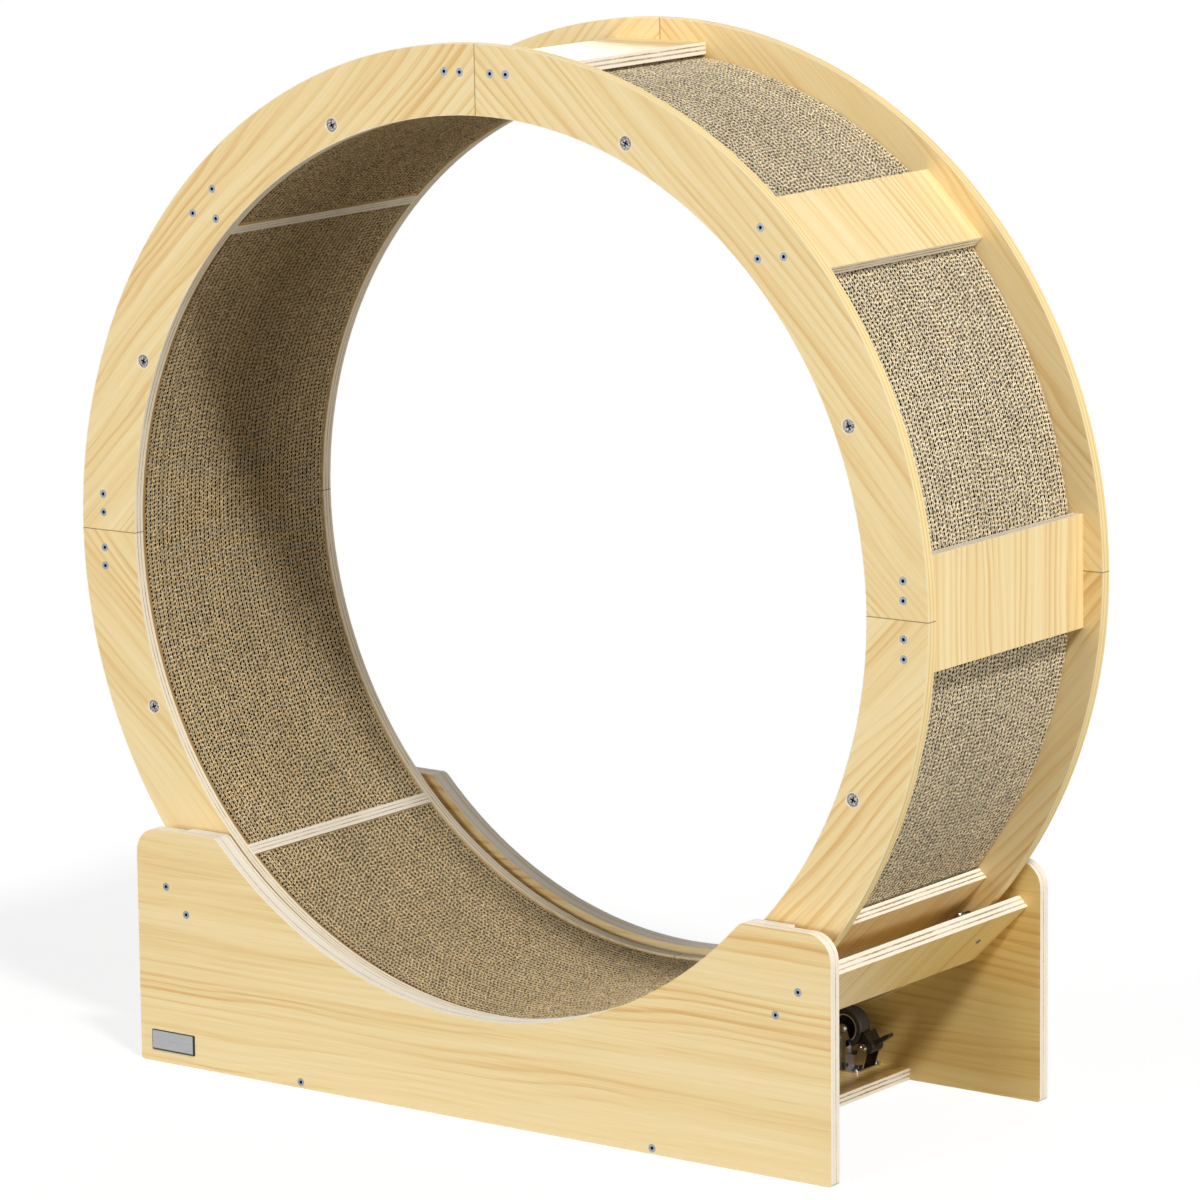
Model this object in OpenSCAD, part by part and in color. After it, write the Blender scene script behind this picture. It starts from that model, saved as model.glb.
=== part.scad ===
// Cat exercise wheel: a plywood and corrugated cardboard running wheel that rolls on four
// braked casters in a low plywood base. Millimetres, +Z up, wheel axis along Y, front at -Y,
// origin on the floor under the middle of the wheel.

/* [Wheel] */
// Outside radius of the two rims
rim_r = 550; // [500:5:600]
// Radial width of a rim
rim_band = 74; // [66:1:90]
// Plywood thickness of a rim
rim_thick = 13; // [10:0.5:16]
// Turn of the wheel from seams upright, in degrees
wheel_turn = 0.5; // [-20:0.5:20]

/* [Cross boards] */
// Width of the four boards over the rim seams
seam_board_w = 119; // [100:1:140]
// Width of the four boards between the seams
mid_board_w = 95; // [70:1:120]
// Plywood thickness of cross boards and dividers
board_thick = 13; // [10:0.5:16]
// Depth of a cross board's outer face below the rim's edge
board_set = 23.5; // [20:0.5:28]

/* [Tread] */
// Depth of the tread's running face below the rims' inner edge
tread_set = 2; // [0.5:0.5:6]
// Gap between a tread panel and the wood round it
tread_gap = 0.3; // [0.2:0.1:1]

/* [Base] */
// Width of the base panels
base_w = 910; // [860:5:960]
// Height of the base panels at their shoulders
base_h = 260; // [240:1:280]
// Depth of the base over both panels
base_d = 408; // [400:1:440]
// Plywood thickness of the panels and slanted boards
panel_thick = 15; // [12:0.5:18]
// Gap between a panel and the rim beside it
panel_gap = 19.5; // [15:0.5:25]
// Thickness of the liner behind each panel's arc
liner_thick = 9; // [6:0.5:11]
// Distance of a liner's ends from the panel's side edges
liner_end_in = 60; // [50:1:80]
// Radius of a panel's upper outer corners
panel_corner_r = 28; // [15:1:40]
// Radius of the shoulder where a panel's top runs into its arc
panel_shoulder_r = 12; // [6:1:20]
// Radius of a panel's lower corners
panel_foot_r = 4; // [2:0.5:10]
// How far a panel's arc stands above the rim's inner edge
panel_cover = 6; // [2:1:12]
// Clearance of the wheel above the floor
floor_gap = 30; // [28:1:40]
// Length of the floor board
floor_board_len = 580; // [560:5:620]
// Plywood thickness of the floor board
floor_board_thick = 13; // [10:0.5:15]
// Width of a slanted board
slant_w = 95; // [80:1:110]
// Shift of a slanted board upwards along its slant
slant_shift = 2.25; // [0:0.25:6]
// Gap between a slanted board and the rims
slant_gap = 6.3; // [4:0.1:9]
// Least distance of a slanted board's outer corner from the panel's side edge
slant_side_in = 15.9; // [10:0.1:30]
// Least distance of a slanted board's upper corner below the panel's shoulder
slant_top_in = 38.2; // [20:0.1:60]

/* [Name plate] */
// Length of the bare metal plate
plate_len = 60; // [40:1:80]
// Height of the plate
plate_h = 23; // [16:0.5:30]
// Distance of the plate from the panel's left edge
plate_edge = 16; // [10:1:30]
// Height of the plate above the floor
plate_rise = 13; // [8:0.5:20]
// Thickness of the plate
plate_thick = 1.2; // [0.8:0.1:2]

/* [Casters] */
// Radius of a caster's tyre
caster_r = 21.5; // [20:0.5:23]
// Width of the tyre
tyre_w = 20; // [16:0.5:21]
// Distance of a caster's axle from the middle of the base
caster_x = 230; // [225:1:235]
// Running gap between a tyre and the rim
tyre_gap = 0.3; // [0.2:0.05:0.5]
// Length of a caster's mounting plate
bracket_len = 52; // [50:1:56]
// Depth of the mounting plate
bracket_d = 50; // [44:1:50]
// Sheet thickness of the bracket
bracket_sheet = 1.8; // [1.5:0.1:2.5]

/* [Brake] */
// Distance of the pedal's pin beyond the caster's axle
pedal_reach = 26.5; // [25:0.5:28]
// Drop of the pedal's pin below the caster's axle
pedal_drop = 18.7; // [17:0.1:20]
// Gap between the released brake pad and the tyre
pad_gap = 2.5; // [2:0.1:3]
// Length of the lever from its pin
lever_len = 29.3; // [26:0.1:34]

/* [Guide rollers] */
// Radius of a guide roller
roller_r = 13; // [10:0.5:15]
// Width of a guide roller
roller_w = 15; // [12:0.5:15]
// Shift of a roller upwards along the slanted board
roller_shift = 3.5; // [0:0.5:6]

/* [Fasteners] */
// Head radius of the hex-socket wood screws
screw_head_r = 4.5; // [4:0.1:5.5]
// Shank radius of the wood screws
screw_r = 2.4; // [2:0.1:3]
// Length of the wood screws
screw_len = 50; // [40:1:60]
// Distance between neighbouring screws of a board
screw_pitch = 20; // [16:0.5:24]
// Distance between the two screws beside a seam or of a narrower board
screw_pair = 39; // [34:1:44]
// Head radius of the tie bolts
tie_head_r = 7.2; // [6:0.1:8]
// Shank radius of the tie bolts
tie_r = 3; // [2.5:0.1:3.5]

/* [Hidden] */
$fn = 96;
// Facets of the large rings in the preview
ring_fn = 240;
// Overrun of every cut beyond the face that it opens
over = 1;
// How far a straight side ends inside the round end that it runs into
tuck = 0.02;
// Radial play of screws, bolts and fixed pins in their holes
fit = 0.05;
// Radial play of a turning part on its pin
running = 0.06;
// Sideways gap between a turning part and what holds it
side_gap = 0.3;
FRONT = -1;
REAR = 1;
RIGHT = 1;
LEFT = -1;

// Wheel, which runs between the two base panels
wheel_w = base_d - 2 * (panel_thick + panel_gap);
arc_deg = 90;
half_arc_deg = arc_deg / 2;
rim_in_r = rim_r - rim_band;
board_out_r = rim_r - board_set;
board_in_r = board_out_r - board_thick;
board_mid_r = board_out_r - board_thick / 2;
divider_h = board_in_r - rim_in_r;
band_mid_r = (rim_in_r + board_in_r) / 2;
tread_in_r = rim_in_r + tread_set;
tread_out_r = board_in_r - tread_gap;
wheel_half = wheel_w / 2;
inside_half = wheel_half - rim_thick;
rim_mid_y = wheel_half - rim_thick / 2;
tie_deg = arc_deg / 4;
// Seam screws lie this far to each side of the seam
seam_screws = [screw_pair / 2, screw_pair / 2 + screw_pitch];

// Wood screws
screw_head_h = 2.6;
screw_tip = 5;
screw_tip_r = 0.5;
socket_r = 2.1;
socket_depth = 2;

// Tie bolts and their sleeve nuts
tie_head_h = 2.4;
tie_head_edge = 0.8;
tie_sink = 3;
tie_recess_len = 7;
tie_recess_w = 1.7;
tie_recess_depth = 1.5;
sleeve_r = 4.4;
sleeve_len = 30;
sleeve_hold = 20;
tie_head_y = wheel_half - tie_sink + tie_head_h;
tie_bolt_len = 2 * (wheel_half - tie_sink) - sleeve_len + sleeve_hold;

// Base
axle_h = rim_r + floor_gap;
base_half = base_d / 2;
bay_half = base_half - panel_thick;
panel_arc_r = rim_in_r - panel_cover;
slant_in_r = rim_r + slant_gap;
slant_out_r = slant_in_r + panel_thick;
slant_up = slant_shift + slant_w / 2;
// Slants below the level at which a board keeps clear of the panel's side edge and of its shoulder
slant_side_deg = atan2(slant_up, slant_out_r)
    + acos((base_w / 2 - slant_side_in) / norm([slant_out_r, slant_up]));
slant_top_deg = atan2(slant_up, slant_in_r)
    + asin((axle_h - base_h + slant_top_in) / norm([slant_in_r, slant_up]));
slant_step_deg = 0.5;
slant_deg = slant_step_deg * round(max(slant_side_deg, slant_top_deg) / slant_step_deg);
slant_screw_r = slant_in_r + panel_thick / 2;
liner_clear = 1;
liner_out_r = slant_in_r - liner_clear;
liner_half = base_w / 2 - liner_end_in;
floor_screw_in = 58;
floor_screw_x = floor_board_len / 2 - floor_screw_in;
plate_border = 1;
plate_corner_r = 1.5;

// Casters, measured from the caster's own axle
caster_h = axle_h - sqrt(pow(rim_r + tyre_gap + caster_r, 2) - pow(caster_x, 2));
bracket_foot_z = floor_board_thick - caster_h;
plate_top_z = bracket_foot_z + bracket_sheet;
tyre_round = 2.8;
tyre_wall = 5.9;
hub_r = caster_r - tyre_wall;
hub_ring = 1.6;
hub_inset = 0.4;
web_half = 2.5;
boss_r = 5.5;
axle_r = 3;
axle_head_r = 4.6;
axle_head_h = 2.2;
pin_taper_share = 0.7;
leg_in = tyre_w / 2 + 1.2;
leg_out = leg_in + bracket_sheet;
leg_eye_r = 5.5;
leg_half = 9.5;
leg_drop = 16;
leg_flange_w = 8;
leg_flange_in = 0.3;
leg_flange_drop = 11;
ear_eye_r = 5;
ear_foot_half = 7;
wall_h = 15;
wall_step = 1.5;
ear_foot_x = bracket_len / 2 - wall_step - ear_foot_half;
bracket_corner_r = 5;
bracket_hole_in = 6;
pan_head_r = 3.7;
pan_head_h = 2.2;
pan_head_edge = 0.8;
pan_r = 1.9;
pan_len = 12;

// Brake pedal, measured from the caster's own axle
pedal_pin = [pedal_reach, -pedal_drop];
pedal_half = leg_in - side_gap * 2;
pin_r = 2.2;
pin_head_r = 3.4;
pin_head_h = 1.4;
pedal_eye_r = 6.4;
heel_r = 7.5;
heel_reach = 2.5;
heel_lift = 1.5;
lever_root_r = 3;
lever_tip_r = 2.1;
lever_deg = 32;
lever_half = 4.5;
pad_thick = 3.4;
pad_in_r = caster_r + pad_gap;
pad_from_deg = -36;
pad_to_deg = -8;

// Guide rollers, measured along the line from the wheel's axis through the slanted board
roller_y = inside_half - tyre_gap - roller_r;
spacer_t = 1.6;
spacer_r = 7;
roller_out_r = slant_in_r - spacer_t;
roller_in_r = roller_out_r - roller_w;
roller_round = 2;
guide_r = 4;
guide_thread_r = 3;
guide_head_r = 6.5;
guide_head_h = 3.2;
guide_head_edge = 1.2;
guide_tip = 1.5;

ply_colour = "#ecd5a3";
edge_colour = "#e6cfa6";
card_colour = "#b39a70";
steel_colour = "#c9ccd0";
black_colour = "#2a2927";

// Frames of reference

// From the wheel's own frame, with its axis at the origin, to its place over the base
module on_wheel() {
    translate([0, 0, axle_h]) rotate([0, -wheel_turn, 0]) children();
}

// To a place round the wheel's axis: out by r at an angle from +X towards +Z, then along the tangent
module polar(deg, r = 0, along = 0) {
    rotate([0, -deg, 0]) translate([r, 0, along]) children();
}

// To a slanted board: local X runs out from the wheel's axis, local Z up along the slant
module on_slant(side) {
    mirror([side == LEFT ? 1 : 0, 0, 0]) translate([0, 0, axle_h]) rotate([0, slant_deg, 0]) children();
}

// To one caster's axle; the left casters are mirror images of the right ones
module on_caster(side, end) {
    mirror([side == LEFT ? 1 : 0, 0, 0]) translate([caster_x, end * rim_mid_y, caster_h]) children();
}

// A flat shape drawn in X and Z, as thick as given, starting at y
module slab(y, thick) {
    translate([0, y + thick, 0]) rotate([90, 0, 0]) linear_extrude(thick) children();
}

// A turned shape, drawn with radius along X and depth along Y, about the Y axis
module turned() {
    rotate([-90, 0, 0]) rotate_extrude() children();
}

// Points straight along +Y what is built along +Z
module facing_rear() {
    rotate([-90, 0, 0]) children();
}

// Puts what is built at the front end at either end
module at_end(end) {
    mirror([0, end == REAR ? 1 : 0, 0]) children();
}

// Flat shapes

module ring(outer, inner) {
    difference() {
        circle(outer, $fn = ring_fn);
        circle(inner, $fn = ring_fn);
    }
}

// The quarter of the plane between the angles start and start + 90, moved out by a gap on both sides
module quarter_plane(start, gap = 0) {
    rotate(start) translate([gap, gap]) square(rim_r + over);
}

module rounded_rect(w, h, r) {
    union() {
        translate([-w / 2 + r, -h / 2]) square([w - 2 * r, h]);
        translate([-w / 2, -h / 2 + r]) square([w, h - 2 * r]);
        for (sx = [-1, 1], sy = [-1, 1])
            translate([sx * (w / 2 - r), sy * (h / 2 - r)]) circle(r);
    }
}

// A bar whose outline wraps two circles, with straight sides that run into both
module link(p, rp, q, rq) {
    span = norm(q - p);
    heading = atan2(q.y - p.y, q.x - p.x);
    lean = acos((rp - rq) / span);
    sides = [for (sgn = [1, -1]) [cos(heading + sgn * lean), sin(heading + sgn * lean)]];
    union() {
        translate(p) circle(rp);
        translate(q) circle(rq);
        polygon([
            p + (rp - tuck) * sides[0], q + (rq - tuck) * sides[0],
            q + (rq - tuck) * sides[1], p + (rp - tuck) * sides[1]
        ]);
    }
}

// Wood screws

// One countersunk wood screw along +Y, its head flush with y = 0
module wood_screw() {
    facing_rear() difference() {
        union() {
            cylinder(h = screw_head_h, r1 = screw_head_r, r2 = screw_r);
            translate([0, 0, screw_head_h]) cylinder(h = screw_len - screw_head_h - screw_tip, r = screw_r);
            translate([0, 0, screw_len - screw_tip]) cylinder(h = screw_tip, r1 = screw_r, r2 = screw_tip_r);
        }
        translate([0, 0, -over]) cylinder(h = socket_depth + over, r = socket_r, $fn = 6);
    }
}

// The hole of one wood screw, open at y = 0
module screw_hole() {
    slope = (screw_head_r - screw_r) / screw_head_h;
    facing_rear() union() {
        translate([0, 0, -over])
            cylinder(h = screw_head_h + over, r1 = screw_head_r + fit + over * slope, r2 = screw_r + fit);
        cylinder(h = screw_len + fit, r = screw_r + fit);
    }
}

// Every screw place of the wheel's front rim: seams, narrower boards and dividers
module seam_screw_places(seam) {
    for (away = seam_screws, sgn = [-1, 1])
        polar(seam * arc_deg, board_mid_r, sgn * away) children();
}

module mid_screw_places(quarter) {
    for (sgn = [-1, 1])
        polar(quarter * arc_deg + half_arc_deg, board_mid_r, sgn * screw_pair / 2) children();
    divider_screw_place(quarter) children();
}

module divider_screw_place(quarter) {
    polar(quarter * arc_deg + half_arc_deg, band_mid_r) children();
}

module tie_places(quarter) {
    for (deg = [tie_deg, arc_deg - tie_deg])
        polar(quarter * arc_deg + deg, band_mid_r) children();
}

// Wheel

// One quarter arc of a rim, with its screw and bolt holes, drawn for the front end
module rim_arc(quarter, end) {
    color(ply_colour) on_wheel() at_end(end) difference() {
        slab(-wheel_half, rim_thick) intersection() {
            ring(rim_r, rim_in_r);
            quarter_plane(quarter * arc_deg);
        }
        translate([0, -wheel_half, 0]) {
            seam_screw_places(quarter) screw_hole();
            seam_screw_places(quarter + 1) screw_hole();
            mid_screw_places(quarter) screw_hole();
            tie_places(quarter) facing_rear() {
                translate([0, 0, -over]) cylinder(h = tie_sink + over, r = tie_head_r + fit);
                cylinder(h = rim_thick + over, r = (end == FRONT ? tie_r : sleeve_r) + fit);
            }
        }
    }
}

// One cross board: a plank along Y outside the tread; even places are seams
module cross_board(place) {
    wide = place % 2 == 0;
    w = wide ? seam_board_w : mid_board_w;
    quarter = floor(place / 2);
    color(ply_colour) on_wheel() difference() {
        polar(place * half_arc_deg, board_in_r)
            translate([0, -inside_half, -w / 2]) cube([board_thick, 2 * inside_half, w]);
        for (end = [FRONT, REAR]) at_end(end) translate([0, -wheel_half, 0]) {
            if (wide) seam_screw_places(quarter) screw_hole();
            else mid_screw_places(quarter) screw_hole();
        }
    }
}

// The upright board between two tread panels, edge on to the runner
module divider(quarter) {
    color(edge_colour) on_wheel() difference() {
        polar(quarter * arc_deg + half_arc_deg, rim_in_r)
            translate([0, -inside_half, -board_thick / 2])
                cube([divider_h, 2 * inside_half, board_thick]);
        for (end = [FRONT, REAR]) at_end(end) translate([0, -wheel_half, 0])
            divider_screw_place(quarter) screw_hole();
    }
}

// One tread panel: a stack of corrugated boards cut to a quarter band between two dividers
module tread(quarter) {
    color(card_colour) on_wheel() difference() {
        slab(-inside_half, 2 * inside_half) intersection() {
            ring(tread_out_r, tread_in_r);
            quarter_plane(quarter * arc_deg - half_arc_deg, board_thick / 2 + tread_gap);
        }
        for (deg = [-tie_deg, tie_deg])
            polar(quarter * arc_deg + deg, band_mid_r) facing_rear()
                translate([0, 0, -wheel_half]) cylinder(h = wheel_w, r = sleeve_r + fit);
    }
}

module wheel_screws() {
    color(steel_colour) on_wheel() for (end = [FRONT, REAR]) at_end(end)
        translate([0, -wheel_half, 0]) for (quarter = [0 : 3]) {
            seam_screw_places(quarter) wood_screw();
            mid_screw_places(quarter) wood_screw();
        }
}

// A round bolt head along +Z with a bevelled edge and a cross recess, its top at z = 0
module cross_head() {
    difference() {
        union() {
            cylinder(h = tie_head_edge, r1 = tie_head_r - tie_head_edge, r2 = tie_head_r);
            translate([0, 0, tie_head_edge]) cylinder(h = tie_head_h - tie_head_edge, r = tie_head_r);
        }
        for (turn = [0, 90]) rotate(turn)
            translate([-tie_recess_len / 2, -tie_recess_w / 2, -over])
                cube([tie_recess_len, tie_recess_w, tie_recess_depth + over]);
    }
}

module tie_bolts() {
    color(steel_colour) on_wheel() for (quarter = [0 : 3]) tie_places(quarter)
        translate([0, -tie_head_y, 0]) facing_rear() union() {
            cross_head();
            translate([0, 0, tie_head_h]) cylinder(h = tie_bolt_len, r = tie_r);
        }
}

module tie_nuts() {
    color(steel_colour) on_wheel() at_end(REAR) for (quarter = [0 : 3]) tie_places(quarter)
        translate([0, -tie_head_y, 0]) facing_rear() difference() {
            union() {
                cross_head();
                translate([0, 0, tie_head_h]) cylinder(h = sleeve_len, r = sleeve_r);
            }
            translate([0, 0, tie_head_h]) cylinder(h = sleeve_len + over, r = tie_r + fit);
        }
}

// Base

// Outline of a base panel in X and Z: shoulders left and right of an arc round the wheel
module panel_outline() {
    drop = axle_h - base_h;
    round_x = sqrt(pow(panel_arc_r + panel_shoulder_r, 2) - pow(drop + panel_shoulder_r, 2));
    edge_x = sqrt(pow(panel_arc_r, 2) - pow(drop, 2));
    pull = panel_arc_r / (panel_arc_r + panel_shoulder_r);
    difference() {
        translate([0, base_h / 2]) rounded_rect(base_w, base_h, panel_foot_r);
        translate([0, axle_h]) circle(panel_arc_r, $fn = ring_fn);
        for (side = [LEFT, RIGHT]) {
            difference() {
                polygon([
                    [side * round_x, base_h + over], [side * (edge_x - over), base_h + over],
                    [side * round_x * pull, axle_h - (drop + panel_shoulder_r) * pull],
                    [side * round_x, base_h - panel_shoulder_r]
                ]);
                translate([side * round_x, base_h - panel_shoulder_r]) circle(panel_shoulder_r);
            }
            difference() {
                translate([side * (base_w / 2 - panel_corner_r), base_h - panel_corner_r])
                    square_towards(side, panel_corner_r + over);
                translate([side * (base_w / 2 - panel_corner_r), base_h - panel_corner_r])
                    circle(panel_corner_r);
            }
        }
    }
}

// A square with one corner at the origin that reaches up and to the given side
module square_towards(side, size) {
    mirror([side == LEFT ? 1 : 0, 0]) square(size);
}

// Screw places of a base panel, over the slanted boards and the floor board
module slant_screw_places() {
    for (side = [LEFT, RIGHT]) on_slant(side) for (sgn = [-1, 1])
        translate([slant_screw_r, 0, roller_shift + sgn * screw_pair / 2]) children();
}

module floor_screw_places() {
    for (side = [LEFT, RIGHT])
        translate([side * floor_screw_x, 0, floor_board_thick / 2]) children();
}

module base_panel(end) {
    color(ply_colour) at_end(end) difference() {
        slab(-base_half, panel_thick) panel_outline();
        translate([0, -base_half, 0]) {
            slant_screw_places() screw_hole();
            floor_screw_places() screw_hole();
        }
    }
}

// A thinner layer glued behind a panel's arc, between the slanted boards; it follows the panel's outline
module panel_liner(end) {
    color(ply_colour) at_end(end) slab(-bay_half, liner_thick) intersection() {
        panel_outline();
        translate([0, axle_h]) circle(liner_out_r, $fn = ring_fn);
        translate([-liner_half, 0]) square([2 * liner_half, base_h + over]);
    }
}

// Holes that the panels' screws leave in the boards between them
module base_screw_holes() {
    for (end = [FRONT, REAR]) at_end(end) translate([0, -base_half, 0]) {
        slant_screw_places() screw_hole();
        floor_screw_places() screw_hole();
    }
}

module slanted_board(side) {
    color(ply_colour) difference() {
        on_slant(side) translate([slant_in_r, -bay_half, slant_shift - slant_w / 2])
            cube([panel_thick, 2 * bay_half, slant_w]);
        base_screw_holes();
        for (end = [FRONT, REAR]) guide_axis(side, end) translate([0, 0, slant_in_r - over])
            cylinder(h = panel_thick + 2 * over, r = guide_thread_r + fit);
    }
}

module floor_board() {
    color(ply_colour) difference() {
        translate([-floor_board_len / 2, -bay_half, 0])
            cube([floor_board_len, 2 * bay_half, floor_board_thick]);
        base_screw_holes();
        for (side = [LEFT, RIGHT], end = [FRONT, REAR]) on_caster(side, end) bracket_screw_places()
            translate([0, 0, -pan_len - fit]) cylinder(h = pan_len + over, r = pan_r + fit);
    }
}

module base_screws() {
    color(steel_colour) for (end = [FRONT, REAR]) at_end(end) translate([0, -base_half, 0]) {
        slant_screw_places() wood_screw();
        floor_screw_places() wood_screw();
    }
}

// Bare metal plate on the front panel, with a thin stepped border
module name_plate() {
    color(steel_colour) translate([-base_w / 2 + plate_edge + plate_len / 2, 0, plate_rise + plate_h / 2])
        union() {
            slab(-base_half - plate_thick / 2, plate_thick / 2)
                rounded_rect(plate_len, plate_h, plate_corner_r);
            slab(-base_half - plate_thick, plate_thick / 2)
                rounded_rect(
                    plate_len - 2 * plate_border, plate_h - 2 * plate_border, plate_corner_r - plate_border / 2
                );
        }
}

// Casters

// Outline of one side of the bracket in X and Z: a low wall, a leg to the axle, an ear to the pedal's pin
module bracket_side() {
    difference() {
        union() {
            link([0, 0], leg_eye_r, [0, -leg_drop], leg_half);
            translate([-leg_half + tuck, bracket_foot_z])
                square([2 * (leg_half - tuck), -bracket_foot_z - leg_drop]);
            intersection() {
                link(pedal_pin, ear_eye_r, [ear_foot_x, bracket_foot_z], ear_foot_half);
                translate([-bracket_len, bracket_foot_z]) square(2 * bracket_len);
            }
            translate([-leg_half - wall_step, bracket_foot_z])
                square([leg_half + ear_foot_x + ear_foot_half, bracket_sheet + wall_h]);
        }
        circle(axle_r + fit);
        translate(pedal_pin) circle(pin_r + fit);
    }
}

// The four screw places of a bracket's plate, at the plate's top
module bracket_screw_places() {
    hole_x = bracket_len / 2 - bracket_hole_in;
    hole_y = bracket_d / 2 - bracket_hole_in;
    for (sx = [-1, 1], sy = [-1, 1]) translate([sx * hole_x, sy * hole_y, plate_top_z]) children();
}

// The edges of the bracket's front leg, turned outwards
module leg_flanges() {
    low = bracket_foot_z + bracket_sheet / 2;
    for (flip = [0, 1]) mirror([flip, 0, 0])
        translate([leg_half - leg_flange_in - bracket_sheet, -leg_out - leg_flange_w, low])
            cube([bracket_sheet, leg_flange_w + bracket_sheet / 2, -leg_flange_drop - low]);
}

// Pressed steel bracket, upright on its plate, with two legs round the tyre
module bracket(side, end) {
    color(steel_colour) on_caster(side, end) union() {
        difference() {
            translate([0, 0, bracket_foot_z]) linear_extrude(bracket_sheet)
                rounded_rect(bracket_len, bracket_d, bracket_corner_r);
            bracket_screw_places() translate([0, 0, -bracket_sheet - over])
                cylinder(h = bracket_sheet + 2 * over, r = pan_r + fit);
        }
        for (flip = [0, 1]) mirror([0, flip, 0]) union() {
            slab(-leg_out, bracket_sheet) bracket_side();
            leg_flanges();
        }
    }
}

// A pin along Y through both sides of a bracket, with a low round head at each end
module headed_pin(r, head_r, head_h) {
    facing_rear() union() {
        translate([0, 0, -leg_out]) cylinder(h = 2 * leg_out, r = r);
        for (flip = [0, 1]) mirror([0, 0, flip]) translate([0, 0, leg_out]) union() {
            cylinder(h = head_h / 2, r = head_r);
            translate([0, 0, head_h / 2]) cylinder(h = head_h / 2, r1 = head_r, r2 = head_r * pin_taper_share);
        }
    }
}

module caster_axles() {
    color(steel_colour) for (side = [LEFT, RIGHT], end = [FRONT, REAR])
        on_caster(side, end) headed_pin(axle_r, axle_head_r, axle_head_h);
}

module pedal_pins() {
    color(steel_colour) for (side = [LEFT, RIGHT], end = [FRONT, REAR])
        on_caster(side, end) translate([pedal_reach, 0, -pedal_drop])
            headed_pin(pin_r, pin_head_r, pin_head_h);
}

module bracket_screws() {
    color(steel_colour) for (side = [LEFT, RIGHT], end = [FRONT, REAR]) on_caster(side, end)
        bracket_screw_places() union() {
            cylinder(h = pan_head_h - pan_head_edge, r = pan_head_r);
            translate([0, 0, pan_head_h - pan_head_edge])
                cylinder(h = pan_head_edge, r1 = pan_head_r, r2 = pan_head_r - pan_head_edge);
            translate([0, 0, -pan_len]) cylinder(h = pan_len, r = pan_r);
        }
}

// Plastic hub: an outer ring, a recessed web and a boss on the axle
module hub(side, end) {
    color(black_colour) on_caster(side, end) turned() {
        ring_half = tyre_w / 2 - hub_inset;
        boss_half = leg_in - side_gap;
        translate([hub_r - hub_ring, -ring_half]) square([hub_ring, 2 * ring_half]);
        translate([boss_r - over, -web_half]) square([hub_r - boss_r, 2 * web_half]);
        translate([axle_r + running, -boss_half]) square([boss_r - axle_r - running, 2 * boss_half]);
    }
}

// Rubber tyre with rounded shoulders
module tyre(side, end) {
    color(black_colour) on_caster(side, end) turned() {
        translate([hub_r + fit, -tyre_w / 2]) square([tyre_wall - tyre_round - fit, tyre_w]);
        translate([hub_r + fit, -tyre_w / 2 + tyre_round]) square([tyre_wall - fit, tyre_w - 2 * tyre_round]);
        for (sgn = [-1, 1])
            translate([caster_r - tyre_round, sgn * (tyre_w / 2 - tyre_round)]) circle(tyre_round);
    }
}

// Outline of the brake pedal in X and Z: an eye on the pin, a pad that faces the tyre and a heel
module pedal_outline() {
    heel = pedal_pin + [heel_reach, heel_lift];
    pad_mid_r = pad_in_r + pad_thick / 2;
    difference() {
        union() {
            link(pedal_pin, pedal_eye_r, heel, heel_r);
            intersection() {
                ring(pad_in_r + pad_thick, pad_in_r);
                polygon([
                    [0, 0], 2 * pad_mid_r * [cos(pad_from_deg), sin(pad_from_deg)],
                    2 * pad_mid_r * [cos(pad_to_deg), sin(pad_to_deg)]
                ]);
            }
            link(
                heel, pedal_eye_r,
                pad_mid_r * [cos(pad_to_deg), sin(pad_to_deg)], pad_thick / 2
            );
        }
        circle(pad_in_r);
        translate(pedal_pin) circle(pin_r + running);
    }
}

// Outline of the foot lever that stands out of the pedal
module lever_outline() {
    tip = pedal_pin + lever_len * [cos(lever_deg), sin(lever_deg)];
    root = pedal_pin + (heel_reach + lever_root_r) * [cos(lever_deg), sin(lever_deg)];
    link(root, lever_root_r, tip, lever_tip_r);
}

module pedal(side, end) {
    color(black_colour) on_caster(side, end) union() {
        slab(-pedal_half, 2 * pedal_half) pedal_outline();
        slab(-lever_half, 2 * lever_half) lever_outline();
    }
}

// Guide rollers

// To a guide roller's axis at the wheel's axis distance 0, built along +Z outwards
module guide_axis(side, end) {
    on_slant(side) translate([0, end * roller_y, roller_shift]) rotate([0, 90, 0]) children();
}

module roller(side, end) {
    color(black_colour) guide_axis(side, end) rotate_extrude() {
        in_r = guide_r + running;
        translate([in_r, roller_in_r]) square([roller_r - roller_round - in_r, roller_w]);
        translate([in_r, roller_in_r + roller_round]) square([roller_r - in_r, roller_w - 2 * roller_round]);
        for (at = [roller_in_r + roller_round, roller_out_r - roller_round])
            translate([roller_r - roller_round, at]) circle(roller_round);
    }
}

module guide_screws() {
    color(steel_colour) for (side = [LEFT, RIGHT], end = [FRONT, REAR]) guide_axis(side, end) union() {
        head_top = roller_in_r - side_gap - guide_head_h;
        difference() {
            union() {
                translate([0, 0, head_top])
                    cylinder(h = guide_head_edge, r1 = guide_head_r - guide_head_edge, r2 = guide_head_r);
                translate([0, 0, head_top + guide_head_edge])
                    cylinder(h = guide_head_h - guide_head_edge, r = guide_head_r);
            }
            translate([0, 0, head_top - over]) cylinder(h = socket_depth + over, r = socket_r, $fn = 6);
        }
        translate([0, 0, head_top + guide_head_h])
            cylinder(h = slant_in_r - head_top - guide_head_h, r = guide_r);
        translate([0, 0, slant_in_r]) cylinder(h = panel_thick + guide_tip, r = guide_thread_r);
    }
}

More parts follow.
